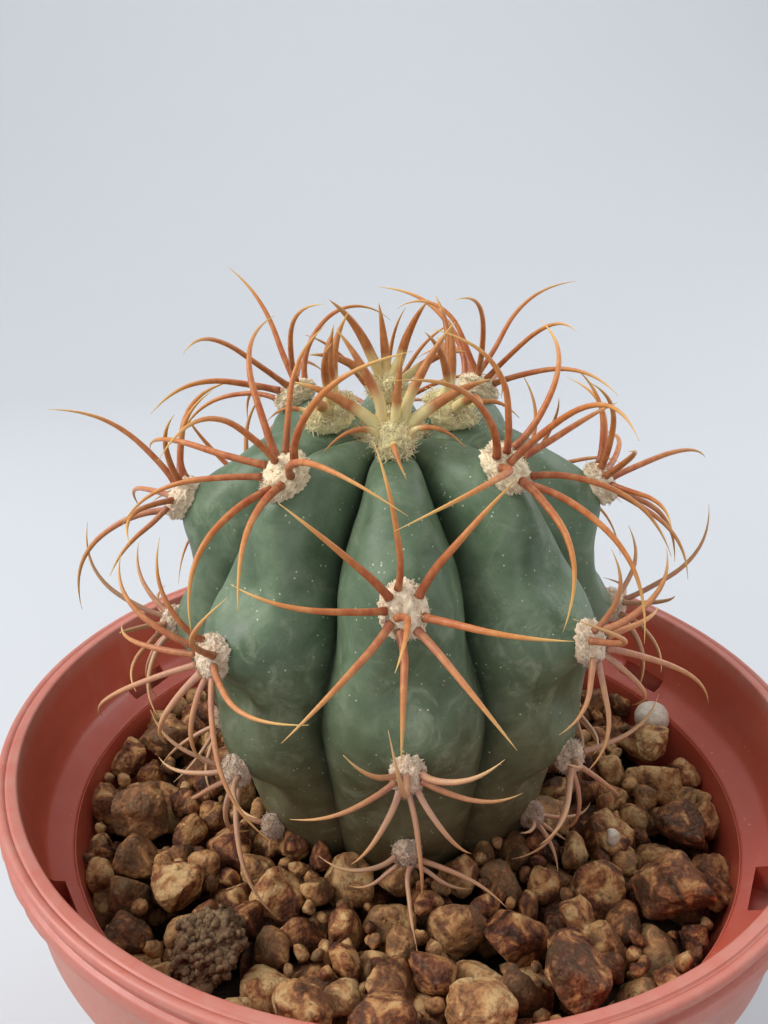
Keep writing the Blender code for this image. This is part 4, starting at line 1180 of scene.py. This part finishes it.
def build_stage():
    """A pale round cove: a flat floor that curves up into a wall."""
    section = [(COVE_FLAT, 0.0)]
    for a in np.linspace(0, math.pi / 2, 18)[1:]:
        section.append((COVE_FLAT + COVE_CURVE * math.sin(a), COVE_CURVE * (1 - math.cos(a))))
    section += [(COVE_FLAT + COVE_CURVE, COVE_HEIGHT)]
    columns = 96
    made = bmesh.new()
    rows = []
    for radius, height in section:
        ring = around(radius, full_turn(columns), height)
        rows.append([made.verts.new(spot) for spot in ring])
    made.faces.new(rows[0])
    for low, high in zip(rows, rows[1:]):
        for k in range(columns):
            after = (k + 1) % columns
            made.faces.new((low[k], high[k], high[after], low[after]))
    cove = plain_object("cove", made)
    cove.data.shade_smooth()
    p = Paint("cove_paper", 0.9, 0.1)
    uneven = p.range(p.noise(400, 1), 0.3, 0.7, 0.0, 0.02)
    cove.data.materials.append(p.finish(p.mix(uneven, rgb(*PAPER), PAPER_SHADE)))


def add_light(name, spot, aim, size, power, color):
    data = bpy.data.lights.new(name, "AREA")
    data.shape, data.size, data.energy, data.color = "DISK", size, power, color
    obj = bpy.data.objects.new(name, data)
    obj.location = spot
    obj.rotation_euler = (Vector(aim) - Vector(spot)).to_track_quat("-Z", "Y").to_euler()
    obj.visible_camera = False
    bpy.context.scene.collection.objects.link(obj)


def add_camera():
    pitch, roll = math.radians(CAMERA_PITCH), CAMERA_ROLL
    right, up = Vector((1, 0, 0)), Vector((0, math.sin(pitch), math.cos(pitch)))
    level = right * math.cos(roll) + up * math.sin(roll)
    above = up * math.cos(roll) - right * math.sin(roll)
    axes = Matrix((level, above, level.cross(above))).transposed()
    data = bpy.data.cameras.new("camera")
    data.lens, data.sensor_width, data.sensor_fit = CAMERA_LENS, 36, "AUTO"
    data.clip_start, data.clip_end = 0.005, 20
    camera = bpy.data.objects.new("camera", data)
    camera.matrix_world = Matrix.Translation(CAMERA_SPOT) @ axes.to_4x4()
    bpy.context.scene.collection.objects.link(camera)
    bpy.context.scene.camera = camera


def light_scene():
    world = bpy.data.worlds.new("sky")
    world.use_nodes = True
    background = world.node_tree.nodes["Background"]
    background.inputs["Color"].default_value = SKY
    background.inputs["Strength"].default_value = SKY_STRENGTH
    bpy.context.scene.world = world
    bpy.context.scene.view_settings.view_transform = "Standard"
    add_light("key", (-0.60, -0.10, 0.62), (0, 0, 0.1), 0.5, 6.0, (1.0, 0.985, 0.96))
    add_light("edge", (0.70, 0.40, 0.50), (0, 0, 0.1), 0.6, 2.8, (0.98, 0.99, 1.0))
    add_light("front", (0.15, -0.85, 0.40), (0, 0, 0.08), 0.5, 1.3, (1.0, 0.99, 0.98))
    add_light("backdrop", (0, 0.45, 1.00), (0, 1.15, 0.26), 0.5, 4.2, (0.98, 0.99, 1.0))


def dress_mix():
    """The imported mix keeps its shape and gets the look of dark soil."""
    mix = NODES["potting_mix"]
    mix.data.materials.clear()
    mix.data.materials.append(soil_material("potting_soil", MIX_SOIL))


def main():
    add_camera()
    light_scene()
    build_stage()
    areoles = all_areoles()
    build_stem()
    horn, wool = spine_material(), wool_material()
    for areole in areoles:
        build_spines(areole, horn)
        build_wool(areole, wool)
    build_crown_wool(wool)
    lay_gravel(areoles)
    build_bed()
    build_clump()
    build_bead()
    build_pot()
    dress_mix()


main()
bpy.context.view_layer.update()
